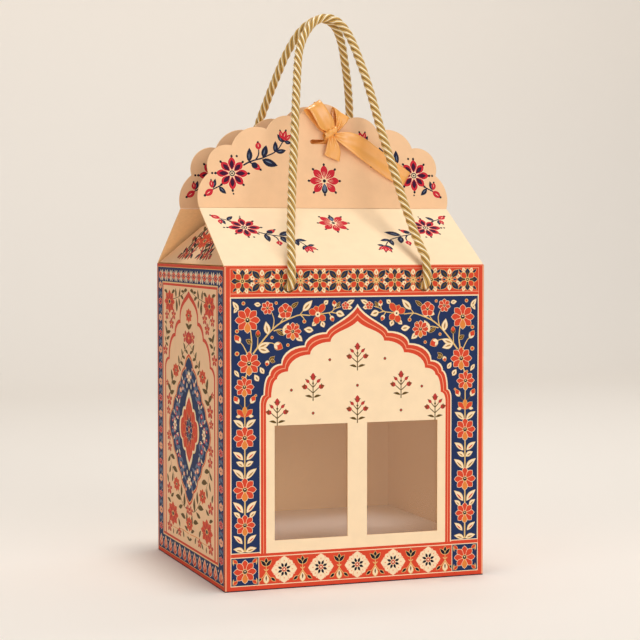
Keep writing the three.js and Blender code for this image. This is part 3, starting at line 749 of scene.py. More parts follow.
def side_sprays():
    """Stems, leaves and flowers of the right half of a side wall, round the medallion."""
    shapes = stems(
        0.6, "olive", [(47, 203), (37, 204), (22, 206.4), (7, 210)],
        [(62, 196), (65, 182), (66, 170), (67.6, 162)], [(58, 192), (50, 184), (46, 184)],
        [(2, 170), (13, 164.6), (24, 156), (37, 148), (49, 139), (55, 128), (58, 114)],
        [(3, 45), (17, 47), (36, 60), (48, 70), (54, 80), (57, 96)],
    )
    shapes += stems(0.6, "orange", [(2, 27), (22, 27.6), (34, 26), (58, 26)])
    shapes += spray(
        "olive", (44, 208.6, -20, 6), (37, 208, 80, 6.4), (34.6, 198.6, 85, 8.6), (27, 201.4, 75, 6),
        (26, 208.6, 110, 6), (18.8, 205, 20, 5.6), (17, 209.4, 5, 5), (9, 210.4, -10, 6), (66, 208.4, 15, 6),
        (65, 178, 60, 7), (57.6, 177.4, 170, 6.4), (60, 172.6, 160, 6), (68, 171, 60, 4), (64, 167, 20, 5),
        (67, 184, 20, 4), (3.6, 183.6, 30, 7), (12.6, 168, 60, 6), (6.8, 164.4, 20, 5.4),
        (19.4, 163, 70, 5.4), (15, 159.6, 10, 5.6), (28.8, 157, 75, 6), (20.4, 154.6, 15, 6),
        (26.4, 150.6, 40, 5), (49.4, 143.6, 75, 8.4), (43, 139, 170, 8), (57.4, 134, 40, 8.4),
        (48.6, 131, 165, 8), (61, 125.4, 20, 4), (61.8, 116, 30, 4), (48, 80, 10, 8),
        (57.6, 78, 130, 6.4), (41, 71, 10, 9), (55.4, 70, 110, 6),
        (48, 64.4, 100, 6.4), (22.6, 57.4, 95, 8), (14.4, 51, 92, 9), (31, 50.6, 5, 9), (24.4, 45, 160, 7),
        (48.6, 50.6, 150, 6), (58, 45, 20, 6), (17.6, 38, 10, 8), (7.6, 38.6, 90, 7), (29, 31.6, 60, 6),
        (17, 24.6, 70, 5), (35, 23.6, 130, 5), (46, 22.4, 90, 4), (3, 23, 20, 5), (62, 62, 70, 6),
        (9, 30, 20, 6),
    )
    shapes += each(full_flower, (55, 200.8, 10.4), (47, 36, 10.6), (37, 148.4, 6.4), (36, 60.4, 6.4))
    return shapes + each(
        small_flower, (43, 191, 4), (49.4, 183.8, 4.2), (63, 190, 3.6), (67.6, 162.4, 4), (9.4, 175.6, 4.4),
        (56.4, 124.4, 4.8), (59.2, 115.6, 3.4), (58, 96, 4), (56, 87.6, 4), (4, 45, 3.6), (57, 54.4, 4.6),
        (57, 24.8, 4.4), (27.6, 24.4, 3.4), (62.4, 137, 2.4),
    )


def side_print():
    """Print of the side walls: borders, a cusped arch with sprays beside it, and the medallion."""
    shapes = side_borders()
    # The peach ground inside the arch is painted shade: the cream ground, warmer and darker
    for share, ink in ((1, "crimson"), (0.85, "red"), (0, "peach_and_shade")):
        shapes += [(arch(SIDE_ARCH, (66.4, 69.2, 8), 18.2, share), ink)]
    shapes += stems(0.6, "olive", [(0, 170), (0, 188)]) + full_flower(0, 192, 6.2) + both(side_sprays())
    shapes += small_flower(0, 175, 5, 8) + full_flower(0, 34.6, 6.4)
    # The dark bar along the foot is a painted contact shadow
    return shapes + moved(medallion(), 0, MEDALLION_LEVEL) + bar(DEPTH / 2, 0, FOOT_SHADOW_LINE, "dark")


# Prints of the gable top


def star_petal(x, y, angle, radius, width, fill, core):
    """Petal of a star flower: pale outline, a core or veins, and a dark tip."""
    dx, dy = math.cos(angle), math.sin(angle)

    def at(share, aside=0.0):
        return x + radius * (share * dx - aside * dy), y + radius * (share * dy + aside * dx)

    shapes = lined_leaf(*at(0.16), *at(0.92), width, fill, "pale", None, 0.36, belly=0.56, blunt=0.85)
    if core == "veins":
        for aside in (-0.06, 0.06):
            shapes += leaf(*at(0.22, 0.4 * aside), *at(0.58, aside), 0.28, "pale", steps=4)
    else:
        shapes += leaf(*at(0.2), *at(0.74), 0.56 * width, core, 0.55, steps=6)
    return shapes + leaf(*at(0.84), *at(1.03), 1.9, "dark", 0.5, blunt=0.8, steps=5)


def hearts(x, y, radius, rings):
    """Discs inside each other, as (ink, share of the flower's radius)."""
    return [shape for ink, share in rings for shape in disc(x, y, share * radius, ink, 14)]


def cored_star(x, y, radius):
    """An eight-petalled flower with dark cores, whose upright and level petals are longer."""
    shapes = []
    for step in range(8):
        reach = radius * (1.06 if step % 2 == 0 else 1)
        shapes += star_petal(x, y, math.radians(45 * step), reach, 0.45 * radius, "rose", "plum")
    return shapes + hearts(x, y, radius, (("pale", 0.2), ("dark", 0.17), ("pale", 0.11), ("dark", 0.06)))


def veined_star(x, y, radius, drop):
    """A flower of seven veined petals and one dark leaf, which points at the angle drop."""
    shapes = star_petal(x, y, math.radians(drop), 0.86 * radius, 0.36 * radius, "indigo", "slate")
    for step in range(1, 8):
        shapes += star_petal(x, y, math.radians(45 * step + drop), radius, 0.44 * radius, "rose", "veins")
    return shapes + hearts(x, y, radius, (("pale", 0.14), ("dark", 0.1)))


def gable_leaf(x, y, tip_x, tip_y, width):
    """An indigo leaf with a slate sheen along its middle."""
    dx, dy = tip_x - x, tip_y - y
    sheen = (x + 0.2 * dx, y + 0.2 * dy, x + 0.66 * dx, y + 0.66 * dy)
    shapes = leaf(x, y, tip_x, tip_y, width, "indigo", 0.45, 0.03, 0.85)
    return shapes + leaf(*sheen, 0.17 * width, "slate", steps=5)


def gable_bud(x, y, tip_x, tip_y, width, foot=None):
    """A rose bud with a pale streak and a dark tip. Its foot may have an ink of its own."""
    dx, dy = tip_x - x, tip_y - y
    shapes = leaf(x, y, x + 0.9 * dx, y + 0.9 * dy, width, "rose", 0.48, blunt=0.8)
    shapes += leaf(x + 0.3 * dx, y + 0.3 * dy, x + 0.68 * dx, y + 0.68 * dy, 0.11 * width, "pale", steps=4)
    shapes += leaf(x + 0.76 * dx, y + 0.76 * dy, tip_x, tip_y, 0.4 * width, "dark", steps=5)
    if foot:
        shapes += leaf(x, y, x + 0.6 * dx, y + 0.6 * dy, width, foot, 0.5, blunt=0.8)
    return shapes


def gable_spray():
    """Spray of one half of a crest: a star flower, buds below it outwards, and a leafy sprig inwards."""
    shapes = stems(
        1.25, "indigo", [(77, 20), (82, 16.6), (88.6, 13.4)],
        [(64, 31.8), (59.7, 34.1), (54, 36.1), (49.5, 37.2), (45, 39.2), (39.3, 41.8), (35.3, 45.5),
         (31.9, 50.6)],
        [(54, 36.1), (51.8, 40), (51.5, 44)], [(59, 34.2), (57, 33.2)],
    )
    shapes += each(
        gable_leaf, (59.5, 34.4, 58.8, 45, 4.6), (48.6, 38, 45.4, 47.2, 5), (49.2, 36.4, 37, 31.8, 5.8),
        (38.8, 41.8, 38.2, 50.4, 4), (38, 42.2, 30, 43.6, 3.7), (32.4, 49.6, 36.4, 55.6, 3.6),
        (83.4, 15.8, 78, 10.4, 3.6), (88, 14.4, 86, 21.6, 3),
    )
    shapes += each(
        gable_bud, (51.5, 43.6, 52, 50.2, 4.8), (57.6, 33.6, 49.6, 28, 4.8, "indigo"),
        (88, 13.6, 95.4, 8.4, 5), (88.8, 14.6, 89.4, 21.4, 3.6), (31.9, 51, 29.2, 59.6, 3.8),
        (32.4, 52, 34.4, 59.4, 3.4), (31, 51, 24.6, 56, 3.4),
    )
    shapes += gable_leaf(31, 50.4, 25.6, 49, 3)
    for x, y, radius in ((68.8, 38.6, 0.9), (88.2, 25.7, 0.9), (31.4, 50.6, 0.9), (72.4, 10.4, 0.7)):
        shapes += disc(x, y, radius, "dark", 8)
    return shapes + cored_star(72.9, 25.7, 12.9)


def crest_print():
    """Two sprays on the crest, with a flower between them."""
    return bar(WIDTH / 2, -1, 82, "peach_and_shade") + both(gable_spray()) + veined_star(-0.4, 20.8, 13.2, 270)


def roof_print():
    """The crest's sprays upside down, with a red line along the crease over the wall."""
    flipped = [(points * (1, -1) + (-1.2, ROOF_LENGTH - 1.4), ink) for points, ink in gable_spray()]
    ground = bar(101, -1, ROOF_LENGTH + 1, "cream") + bar(101, -1, 1.3, "red")
    return ground + both(flipped) + veined_star(-0.6, 57.8, 13, 90)


def gusset_print():
    """A flower with dense sprays to both sides, on the ground of the side walls."""
    half = stems(0.9, "dark", [(2, 17), (16, 19), (28, 15), (38, 9.6)], [(3, 24), (10, 31), (13, 37)],
                 [(4, 20), (14, 25), (24, 26), (31, 24)], [(5, 14), (14, 11), (24, 8)])
    for row, (level, reach) in enumerate(((8, 36), (13, 34), (18, 31), (23, 28), (28, 23), (33, 16))):
        for step in range(int(reach / 5.2)):
            x = 9 + 5.2 * step + 2.6 * (row % 2)
            ink = ("dark", "crimson", "dark", "olive")[(step + row) % 4]
            half += spray(ink, (x, level, 75 + 40 * ((step + 2 * row) % 3 - 1), 6.4))
    half += each(bud, (38, 9.6, 45, 6.6, 4.4, "crimson", "dark", "olive"),
                 (31, 24, 37, 24.6, 4, "crimson", "dark", "olive"))
    half += each(small_flower, (13, 36.4, 3), (26, 9, 3.4), (17, 22.4, 3.4))
    # The peach ground is painted shade: the cream ground of the walls, warmer and darker
    return bar(95, -1, 42, "peach_and_shade") + both(half) + full_flower(0, 22, 9)


# From a drawing to a panel


def partition(outline, shapes, holes):
    """Cuts the overlapping shapes into triangles that don't overlap. Each triangle inside the outline
    takes the ink of the last shape that covers it, and those in a hole are left out."""
    faces = [(outline, shapes[0][1])] + shapes[1:] + [(hole, None) for hole in holes]
    rings = [ccw(points) for points, _ in faces]
    starts = np.cumsum([0] + [len(ring) for ring in rings])
    corners = [Vector(point) for point in np.concatenate(rings).tolist()]
    loops = [list(range(start, start + len(ring))) for start, ring in zip(starts, rings)]
    places, _, triangles, _, _, owners = delaunay_2d_cdt(corners, [], loops, 1, 1e-5)
    top = np.array([max(owner) if owner and min(owner) == 0 else -1 for owner in owners])
    inks = [ink for _, ink in faces]
    kept = np.array([index >= 0 and inks[index] is not None for index in top])
    flat = np.array([place[:] for place in places], float)
    corner_index = np.array(triangles, int)[kept]
    used, corner_index = np.unique(corner_index, return_inverse=True)
    return flat[used], corner_index.reshape(-1, 3), [inks[index] for index in top[kept]]


def rim_edges(triangles):
    """The directed edges that only one triangle has."""
    edges = np.concatenate([triangles[:, [0, 1]], triangles[:, [1, 2]], triangles[:, [2, 0]]])
    _, first, count = np.unique(np.sort(edges, 1), axis=0, return_index=True, return_counts=True)
    return edges[first[count == 1]]


def mesh_object(name, places, faces, materials):
    """A new object from places in millimetres and faces of corner numbers."""
    mesh = bpy.data.meshes.new(name)
    mesh.from_pydata((np.asarray(places) * MM).tolist(), [], [list(map(int, face)) for face in faces])
    for material in materials:
        mesh.materials.append(material)
    piece = bpy.data.objects.new(name, mesh)
    bpy.context.scene.collection.objects.link(piece)
    return piece


def panel_frame(turn, distance, foot=(0.0, 0.0), tilt=90.0):
    """Place, along, up and out of a panel. Its side is turned about the box's middle and lies at the
    given distance from it, its foot is moved (in, up), and tilt is its angle with the floor."""
    angle, lean = math.radians(turn), math.radians(tilt)
    side = np.array([math.sin(angle), -math.cos(angle), 0])
    along = np.array([math.cos(angle), math.sin(angle), 0])
    rise = np.array([0, 0, 1.0])
    place = side * (distance - foot[0]) + rise * foot[1]
    up = rise * math.sin(lean) - side * math.cos(lean)
    return place, along, up, side * math.sin(lean) + rise * math.cos(lean)


def in_frame(points, out, placing):
    """Points of a panel's plane, at the given height out of its face, in the box's frame."""
    place, along, up, away = placing
    return place + points[:, :1] * along + points[:, 1:2] * up + np.reshape(out, (-1, 1)) * away


def printed_panel(name, drawing, placing, two_sided=False):
    """A closed panel of board: the printed sheet, a back of the same outline and the cut rim between
    them. The back is printed as well where two_sided says so."""
    flat, triangles, inks = drawing
    edges = rim_edges(triangles)
    count = len(flat)
    places = np.concatenate([in_frame(flat, 0.0, placing), in_frame(flat, -BOARD, placing)])
    rim = np.stack([edges[:, 1], edges[:, 0], edges[:, 0] + count, edges[:, 1] + count], 1)
    faces = triangles.tolist() + (triangles[:, ::-1] + count).tolist() + rim.tolist()
    piece = mesh_object(name, places, faces, [MATERIALS["print"], MATERIALS["board"]])
    printed = len(triangles) * (2 if two_sided else 1)
    slots = np.ones(len(faces), np.int32)
    slots[:printed] = 0
    piece.data.polygons.foreach_set("material_index", slots)
    palette = bpy.context.scene.hamper_inks
    shades = np.array([getattr(palette, ink)[:] for ink in inks], np.float32)
    corners = np.concatenate([
        np.repeat(np.concatenate([shades, shades]), 3, axis=0), np.ones((4 * len(rim), 4), np.float32),
    ])
    layer = piece.data.color_attributes.new("ink", "FLOAT_COLOR", "CORNER")
    layer.data.foreach_set("color", corners.ravel())
    return piece


def crest_frame(turn):
    """The crest's plane, from the fold on top of its roof panel."""
    return panel_frame(turn, DEPTH / 2, (ROOF_RUN, WALL + ROOF_RISE), CREST_TILT)


def round_hole(x, y, radius):
    """Outline of a punched hole."""
    return disc(x, y, radius, None, 20)[0][0]


def box_outline(left, bottom, right, top):
    """Outline of a wall or a window."""
    return rect(left, bottom, right, top, None)[0][0]


def crest_outline():
    """Scalloped outline: circular arcs that stand out from the chords between the cusps."""
    end = WIDTH / 2 - ROOF_INSET
    right = np.array([[end - inset, height] for inset, height in zip(LOBE_INSETS, LOBE_HEIGHTS)])
    cusps = np.concatenate([right, (right * (-1, 1))[::-1]])
    bulges = np.array(LOBE_BULGES + LOBE_BULGES[-2::-1], float)
    here, there = cusps[:-1], cusps[1:]
    chord = there - here
    reach = np.linalg.norm(chord, axis=1)
    radius = (reach ** 2 / 4 + bulges ** 2) / (2 * bulges)
    outward = np.stack([chord[:, 1], -chord[:, 0]], 1) / reach[:, None]
    centre = (here + there) / 2 + outward * (bulges - radius)[:, None]
    start = np.arctan2(*(here - centre).T[::-1])
    sweep = 2 * np.arcsin(reach / 2 / radius)
    angle = start[:, None] + sweep[:, None] * np.linspace(0, 1, 20, endpoint=False)
    arcs = centre[:, None] + radius[:, None, None] * np.stack([np.cos(angle), np.sin(angle)], 2)
    return np.concatenate([arcs.reshape(-1, 2), cusps[-1:]])


def slot_outline():
    """The ribbon slot, with half circles for its ends."""
    angle = np.linspace(-math.pi / 2, math.pi / 2, 9)
    radius = SLOT_HEIGHT / 2
    middle = SLOT_LENGTH / 2 - radius
    end = np.stack([middle + radius * np.cos(angle), SLOT_LEVEL + radius * np.sin(angle)], 1)
    return np.concatenate([end, np.stack([-end[:, 0], 2 * SLOT_LEVEL - end[:, 1]], 1)])


# Materials

MATERIALS = {}


def node(tree, kind, settings=None, **links):
    """Adds a node, sets its attributes, and sets or links its inputs by name, or by number as in0."""
    made = tree.nodes.new(kind)
    for key, value in (settings or {}).items():
        setattr(made, key, value)
    for key, value in links.items():
        numbered = key.startswith("in") and key[2:].isdigit()
        socket = made.inputs[int(key[2:]) if numbered else key.replace("_", " ")]
        if isinstance(value, bpy.types.NodeSocket):
            tree.links.new(value, socket)
        else:
            socket.default_value = value
    return made


def new_material(name, **values):
    """A node material with its Principled shader, whose inputs take the values given by name."""
    material = bpy.data.materials.new(name)
    material.use_nodes = True
    tree = material.node_tree
    shader = tree.nodes["Principled BSDF"]
    for key, value in values.items():
        shader.inputs[key.replace("_", " ")].default_value = value
    return material, tree, shader


def ramp_range(tree, value, low, high, bottom, top):
    """The value's range from low to high, taken to the range from bottom to top."""
    return node(tree, "ShaderNodeMapRange", Value=value, From_Min=low, From_Max=high, To_Min=bottom,
                To_Max=top).outputs["Result"]


def toned(tree, shader, colour, value):
    """Gives the shader the colour, lightened and darkened by the value."""
    tone = node(tree, "ShaderNodeHueSaturation", Color=colour, Value=value)
    tree.links.new(tone.outputs["Color"], shader.inputs["Base Color"])


def embossed(tree, shader, height, strength, depth):
    """Gives the shader a bump of the given depth in millimetres."""
    bump = node(tree, "ShaderNodeBump", Strength=strength, Distance=depth * MM, Height=height)
    tree.links.new(bump.outputs["Normal"], shader.inputs["Normal"])


def paper_tooth(tree, shader, place, spacing, depth, roughness, spread):
    """Fibre tooth of paper: fine noise of the given spacing in millimetres, as bump and gloss."""
    fine = node(tree, "ShaderNodeTexNoise", Vector=place, Scale=1 / (spacing * MM), Detail=2.0, Roughness=0.5)
    embossed(tree, shader, fine.outputs["Fac"], 0.12, depth)
    gloss = ramp_range(tree, fine.outputs["Fac"], 0.0, 1.0, roughness - spread, roughness + spread)
    tree.links.new(gloss, shader.inputs["Roughness"])
    return fine.outputs["Fac"]


def make_print():
    """Offset-printed folding boxboard under a satin water-based coat: flat inks, a faint cloudiness
    of the ink film about 9 mm across, and the board's fine tooth, drawn at 0.7 mm so that it shows."""
    material, tree, shader = new_material("printed_boxboard", IOR=1.47, Specular_IOR_Level=0.08)
    place = node(tree, "ShaderNodeTexCoord").outputs["Object"]
    ink = node(tree, "ShaderNodeAttribute", {"attribute_name": "ink"})
    fine = paper_tooth(tree, shader, place, 0.7, 0.02, 0.55, 0.06)
    cloud = node(tree, "ShaderNodeTexNoise", Vector=place, Scale=1 / (9 * MM), Detail=2.0)
    mixed = node(tree, "ShaderNodeMix", {"data_type": "FLOAT"}, in0=0.3, in2=cloud.outputs["Fac"], in3=fine)
    toned(tree, shader, ink.outputs["Color"], ramp_range(tree, mixed.outputs[0], 0.3, 0.7, 0.965, 1.025))
    return material


def make_board(name, colour, mottle_depth):
    """Uncoated back of folding boxboard: matt, with the mottle of pressed fibres 3 mm across."""
    material, tree, shader = new_material(name, IOR=1.45, Specular_IOR_Level=0.15)
    place = node(tree, "ShaderNodeTexCoord").outputs["Object"]
    paper_tooth(tree, shader, place, 1.1, 0.012, 0.85, 0.05)
    mottle = node(tree, "ShaderNodeTexNoise", Vector=place, Scale=1 / (3 * MM), Detail=3.0, Roughness=0.6)
    value = ramp_range(tree, mottle.outputs["Fac"], 0.3, 0.7, 1 - mottle_depth, 1 + mottle_depth)
    toned(tree, shader, colour[:], value)
    return material


def make_film():
    """Clear polyester film: glossy, with a thin warm haze over what is behind it, whose warm tint is painted
    light that brightens the shaded inside of the box, and faint ripples 40 mm across from being glued by
    hand, so that its reflections waver."""
    material, tree, shader = new_material(
        "polyester_film", Base_Color=linear("#FACBA4"), Roughness=0.06, IOR=1.5, Alpha=0.15,
    )
    place = node(tree, "ShaderNodeTexCoord").outputs["Object"]
    ripple = node(tree, "ShaderNodeTexNoise", Vector=place, Scale=1 / (40 * MM), Detail=0.0)
    embossed(tree, shader, ripple.outputs["Fac"], 0.1, 0.4)
    return material


def make_cord(finish):
    """Twisted viscose cord of gold yarn, with a painted highlight along each strand's crown and painted
    shade, dark brown, in the groove between strands. Lustrous filaments run along each strand, drawn 0.7 mm
    apart, coarser than yarn, to show."""
    material, tree, shader = new_material(
        "viscose_cord", Roughness=0.36, IOR=1.52, Sheen_Weight=0.2, Sheen_Roughness=0.4,
    )
    crown = node(tree, "ShaderNodeAttribute", {"attribute_name": "crown"})
    uv = node(tree, "ShaderNodeUVMap", {"uv_map": "strand"})
    thread = node(tree, "ShaderNodeTexWave", {"wave_type": "BANDS", "bands_direction": "X"},
                  Vector=uv.outputs["UV"], Scale=TAU / 20 / 0.7, Distortion=1.0, Detail=1.0).outputs["Fac"]
    # The ramp goes from painted shade in the groove, through the gold yarn, to a painted highlight on the
    # crown
    ramp = node(tree, "ShaderNodeValToRGB", Fac=crown.outputs["Fac"])
    stops = ramp.color_ramp.elements
    stops[0].position, stops[0].color = 0.0, finish.cord_groove[:]
    stops[1].position, stops[1].color = 0.92, finish.cord_light[:]
    for position in (0.3, 0.66):
        stops.new(position).color = finish.cord[:]
    toned(tree, shader, ramp.outputs["Color"], ramp_range(tree, thread, 0.0, 1.0, 0.86, 1.08))
    embossed(tree, shader, thread, 0.35, 0.12)
    return material


def make_ribbon(finish):
    """Polyester satin ribbon: long floats give a soft lustre along it, the weft shows as faint cross
    ribs, drawn 0.6 mm apart to show, and the light in the folds is warmer where the satin is bent."""
    material, tree, shader = new_material(
        "satin_ribbon", Roughness=0.34, IOR=1.55, Specular_IOR_Level=0.75, Sheen_Weight=0.35,
        Sheen_Roughness=0.3, Sheen_Tint=linear("#FFE3AE"),
    )
    uv = node(tree, "ShaderNodeUVMap", {"uv_map": "ribbon"}).outputs["UV"]
    weft = node(tree, "ShaderNodeTexWave", {"wave_type": "BANDS", "bands_direction": "X"}, Vector=uv,
                Scale=TAU / 20 / 0.6, Distortion=0.4)
    slub = node(tree, "ShaderNodeTexNoise", Vector=uv, Scale=0.2, Detail=3.0)
    toned(tree, shader, finish.ribbon[:], ramp_range(tree, slub.outputs["Fac"], 0.3, 0.7, 0.975, 1.025))
    embossed(tree, shader, weft.outputs["Fac"], 0.08, 0.05)
    return material


# Cord and ribbon surfaces


def travelled(path):
    """Distance along a path at each of its points."""
    return np.concatenate([[0], np.cumsum(np.linalg.norm(np.diff(path, axis=0), axis=1))])


def resampled(path, step):
    """The path again at even steps of about the given length."""
    reach = travelled(path)
    even = np.linspace(0, reach[-1], max(2, int(round(reach[-1] / step)) + 1))
    return np.stack([np.interp(even, reach, path[:, i]) for i in range(3)], 1), even


def carried_frame(path):
    """Two cross directions along a path, carried on from place to place without spin."""
    along = np.gradient(path, axis=0)
    along /= np.linalg.norm(along, axis=1, keepdims=True)
    first = np.cross(along[0], (0.3, 0.2, 0.9))
    sides = [first / np.linalg.norm(first)]
    for tangent in along[1:]:
        side = sides[-1] - tangent * np.dot(sides[-1], tangent)
        sides.append(side / np.linalg.norm(side))
    sides = np.array(sides)
    return sides, np.cross(along, sides)


def rope_rings(path, reach, radius, lay):
    """Rings of a four-strand rope. At angle a from the nearest strand's crown the radius is that of a
    round strand beside the middle, b cos a + sqrt(b^2 - b^2 sin^2 a) with b half the rope's radius,
    which is 2 b cos a, and the ring turns once in a lay."""
    side, other = carried_frame(path)
    angle = TAU * np.arange(40) / 40
    sector = TAU / STRANDS
    offset = (angle + sector / 2) % sector - sector / 2
    profile = radius * np.cos(offset)
    turned = angle[None, :] - TAU * reach[:, None] / lay
    ring = side[:, None] * np.cos(turned)[..., None] + other[:, None] * np.sin(turned)[..., None]
    rings = path[:, None] + ring * profile[None, :, None]
    crown = 1 - np.abs(offset) / (sector / 2)
    return rings, np.broadcast_to(crown, rings.shape[:2]), offset * radius


def corner_uv(mesh, name, u, v):
    """A UV map from values at the mesh's points."""
    corner = np.empty(len(mesh.loops), np.int32)
    mesh.loops.foreach_get("vertex_index", corner)
    uv = np.stack([u[corner], v[corner]], 1).astype(np.float32)
    mesh.uv_layers.new(name=name).uv.foreach_set("vector", uv.ravel())


def tube_object(name, rings, crown, across, reach):
    """A closed tube of cord through the rings, with a middle point in each end."""
    count, around = rings.shape[:2]
    index = np.arange(count * around).reshape(count, around)
    after = np.roll(index, -1, 1)
    sides = np.stack([index[:-1], after[:-1], after[1:], index[1:]], 2).reshape(-1, 4)
    ends = count * around + np.arange(2)
    first = np.stack([np.full(around, ends[0]), after[0], index[0]], 1)
    last = np.stack([np.full(around, ends[1]), index[-1], after[-1]], 1)
    places = np.concatenate([rings.reshape(-1, 3), rings[0].mean(0)[None], rings[-1].mean(0)[None]])
    faces = sides.tolist() + first.tolist() + last.tolist()
    piece = mesh_object(name, places, faces, [MATERIALS["cord"]])
    mesh = piece.data
    shade = np.concatenate([crown.ravel(), [0.3, 0.3]]).astype(np.float32)
    mesh.attributes.new("crown", "FLOAT", "POINT").data.foreach_set("value", shade)
    corner_uv(mesh, "strand", np.concatenate([np.tile(across, count), [0, 0]]),
              np.concatenate([np.repeat(reach, around), reach[[0, -1]]]))
    mesh.shade_smooth()
    return piece


def strip_object(name, grid):
    """A ribbon from a grid of places (along, across). Its UV map is in millimetres along and across."""
    count, across = grid.shape[:2]
    index = np.arange(count * across).reshape(count, across)
    faces = np.stack([index[:-1, :-1], index[1:, :-1], index[1:, 1:], index[:-1, 1:]], 2).reshape(-1, 4)
    piece = mesh_object(name, grid.reshape(-1, 3), faces, [MATERIALS["ribbon"]])
    width = bpy.context.scene.hamper_finish.ribbon_width / MM
    corner_uv(piece.data, "ribbon", np.repeat(travelled(grid[:, across // 2]), across),
              np.tile(np.linspace(0, width, across), count))
    piece.data.shade_smooth()
    solid = piece.modifiers.new("ribbon_thickness", "SOLIDIFY")
    solid.thickness, solid.offset = RIBBON * MM, 0.0
    return piece


# Operators


class HAMPER_OT_stage(bpy.types.Operator):
    """Makes the backdrop, the studio lamps and the camera at the photograph's angle"""

    bl_idname = "hamper.stage"
    bl_label = "Stage"

    def execute(self, context):
        scene = context.scene
        scene.view_settings.view_transform = "Standard"

        camera = bpy.data.cameras.new("camera")
        camera.lens, camera.sensor_width = LENS, SENSOR
        holder = bpy.data.objects.new("camera", camera)
        holder.location = CAMERA_PLACE
        holder.rotation_euler = (math.radians(90 - CAMERA_DOWN), 0, math.radians(-CAMERA_ASIDE))
        scene.collection.objects.link(holder)
        scene.camera = holder

        self.sweep(scene.hamper_finish)
        for name, place, tilt, size, power in LAMPS:
            lamp = bpy.data.lights.new(name, "AREA")
            lamp.shape, lamp.size, lamp.size_y, lamp.energy = "RECTANGLE", *size, power
            stand = bpy.data.objects.new(name, lamp)
            stand.location = place
            aim = (Vector(LAMP_AIM) - Vector(place)).to_track_quat("-Z", "Y").to_euler()
            stand.rotation_euler = aim if tilt is None else (math.radians(tilt), 0, 0)
            scene.collection.objects.link(stand)
        world = bpy.data.worlds.new("studio")
        world.use_nodes = True
        background = world.node_tree.nodes["Background"]
        background.inputs["Color"].default_value = linear("#FFFDFA")
        background.inputs["Strength"].default_value = WORLD_STRENGTH
        scene.world = world
        return {"FINISHED"}

    def sweep(self, finish):
        """Paper sweep: the floor runs back, turns up in a quarter circle and goes on as the wall."""
        turn = np.linspace(0, math.pi / 2, 25)
        bend = np.stack([SWEEP_BEND + SWEEP_RADIUS * np.sin(turn), SWEEP_RADIUS * (1 - np.cos(turn))], 1)
        profile = np.concatenate([[[SWEEP_FRONT, 0]], bend, [[SWEEP_BEND + SWEEP_RADIUS, SWEEP_TOP]]])
        count = len(profile)
        grid = np.empty((count, 2, 3))
        grid[..., 0] = (-SWEEP_HALF_WIDTH, SWEEP_HALF_WIDTH)
        grid[..., 1:] = profile[:, None]
        grid[..., 2] -= SWEEP_DROP
        index = np.arange(2 * count).reshape(count, 2)
        faces = np.stack([index[:-1, 0], index[:-1, 1], index[1:, 1], index[1:, 0]], 1)
        material, _, _ = new_material(
            "backdrop_paper", Base_Color=finish.backdrop[:], Roughness=0.75, Specular_IOR_Level=0.2,
        )
        piece = mesh_object("backdrop", grid.reshape(-1, 3), faces, [material])
        piece.data.shade_smooth()


class HAMPER_OT_materials(bpy.types.Operator):
    """Makes the materials and gives the plain CAD pieces theirs"""

    bl_idname = "hamper.materials"
    bl_label = "Materials"

    def execute(self, context):
        finish = context.scene.hamper_finish
        MATERIALS["print"] = make_print()
        MATERIALS["board"] = make_board("boxboard_back", finish.board_back, 0.04)
        MATERIALS["floor"] = make_board("floor_greyboard", finish.floor_board, 0.03)
        MATERIALS["film"] = make_film()
        MATERIALS["cord"] = make_cord(finish)
        MATERIALS["ribbon"] = make_ribbon(finish)
        flaps = ["glue_flap"] + [f"{side}_base_flap" for side in ("front", "back", "left", "right")]
        worn = dict.fromkeys(flaps, "board") | {"floor_insert": "floor", "window_film": "film"}
        for name, finish_name in worn.items():
            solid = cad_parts[name].data
            solid.materials.clear()
            solid.materials.append(MATERIALS[finish_name])
        return {"FINISHED"}


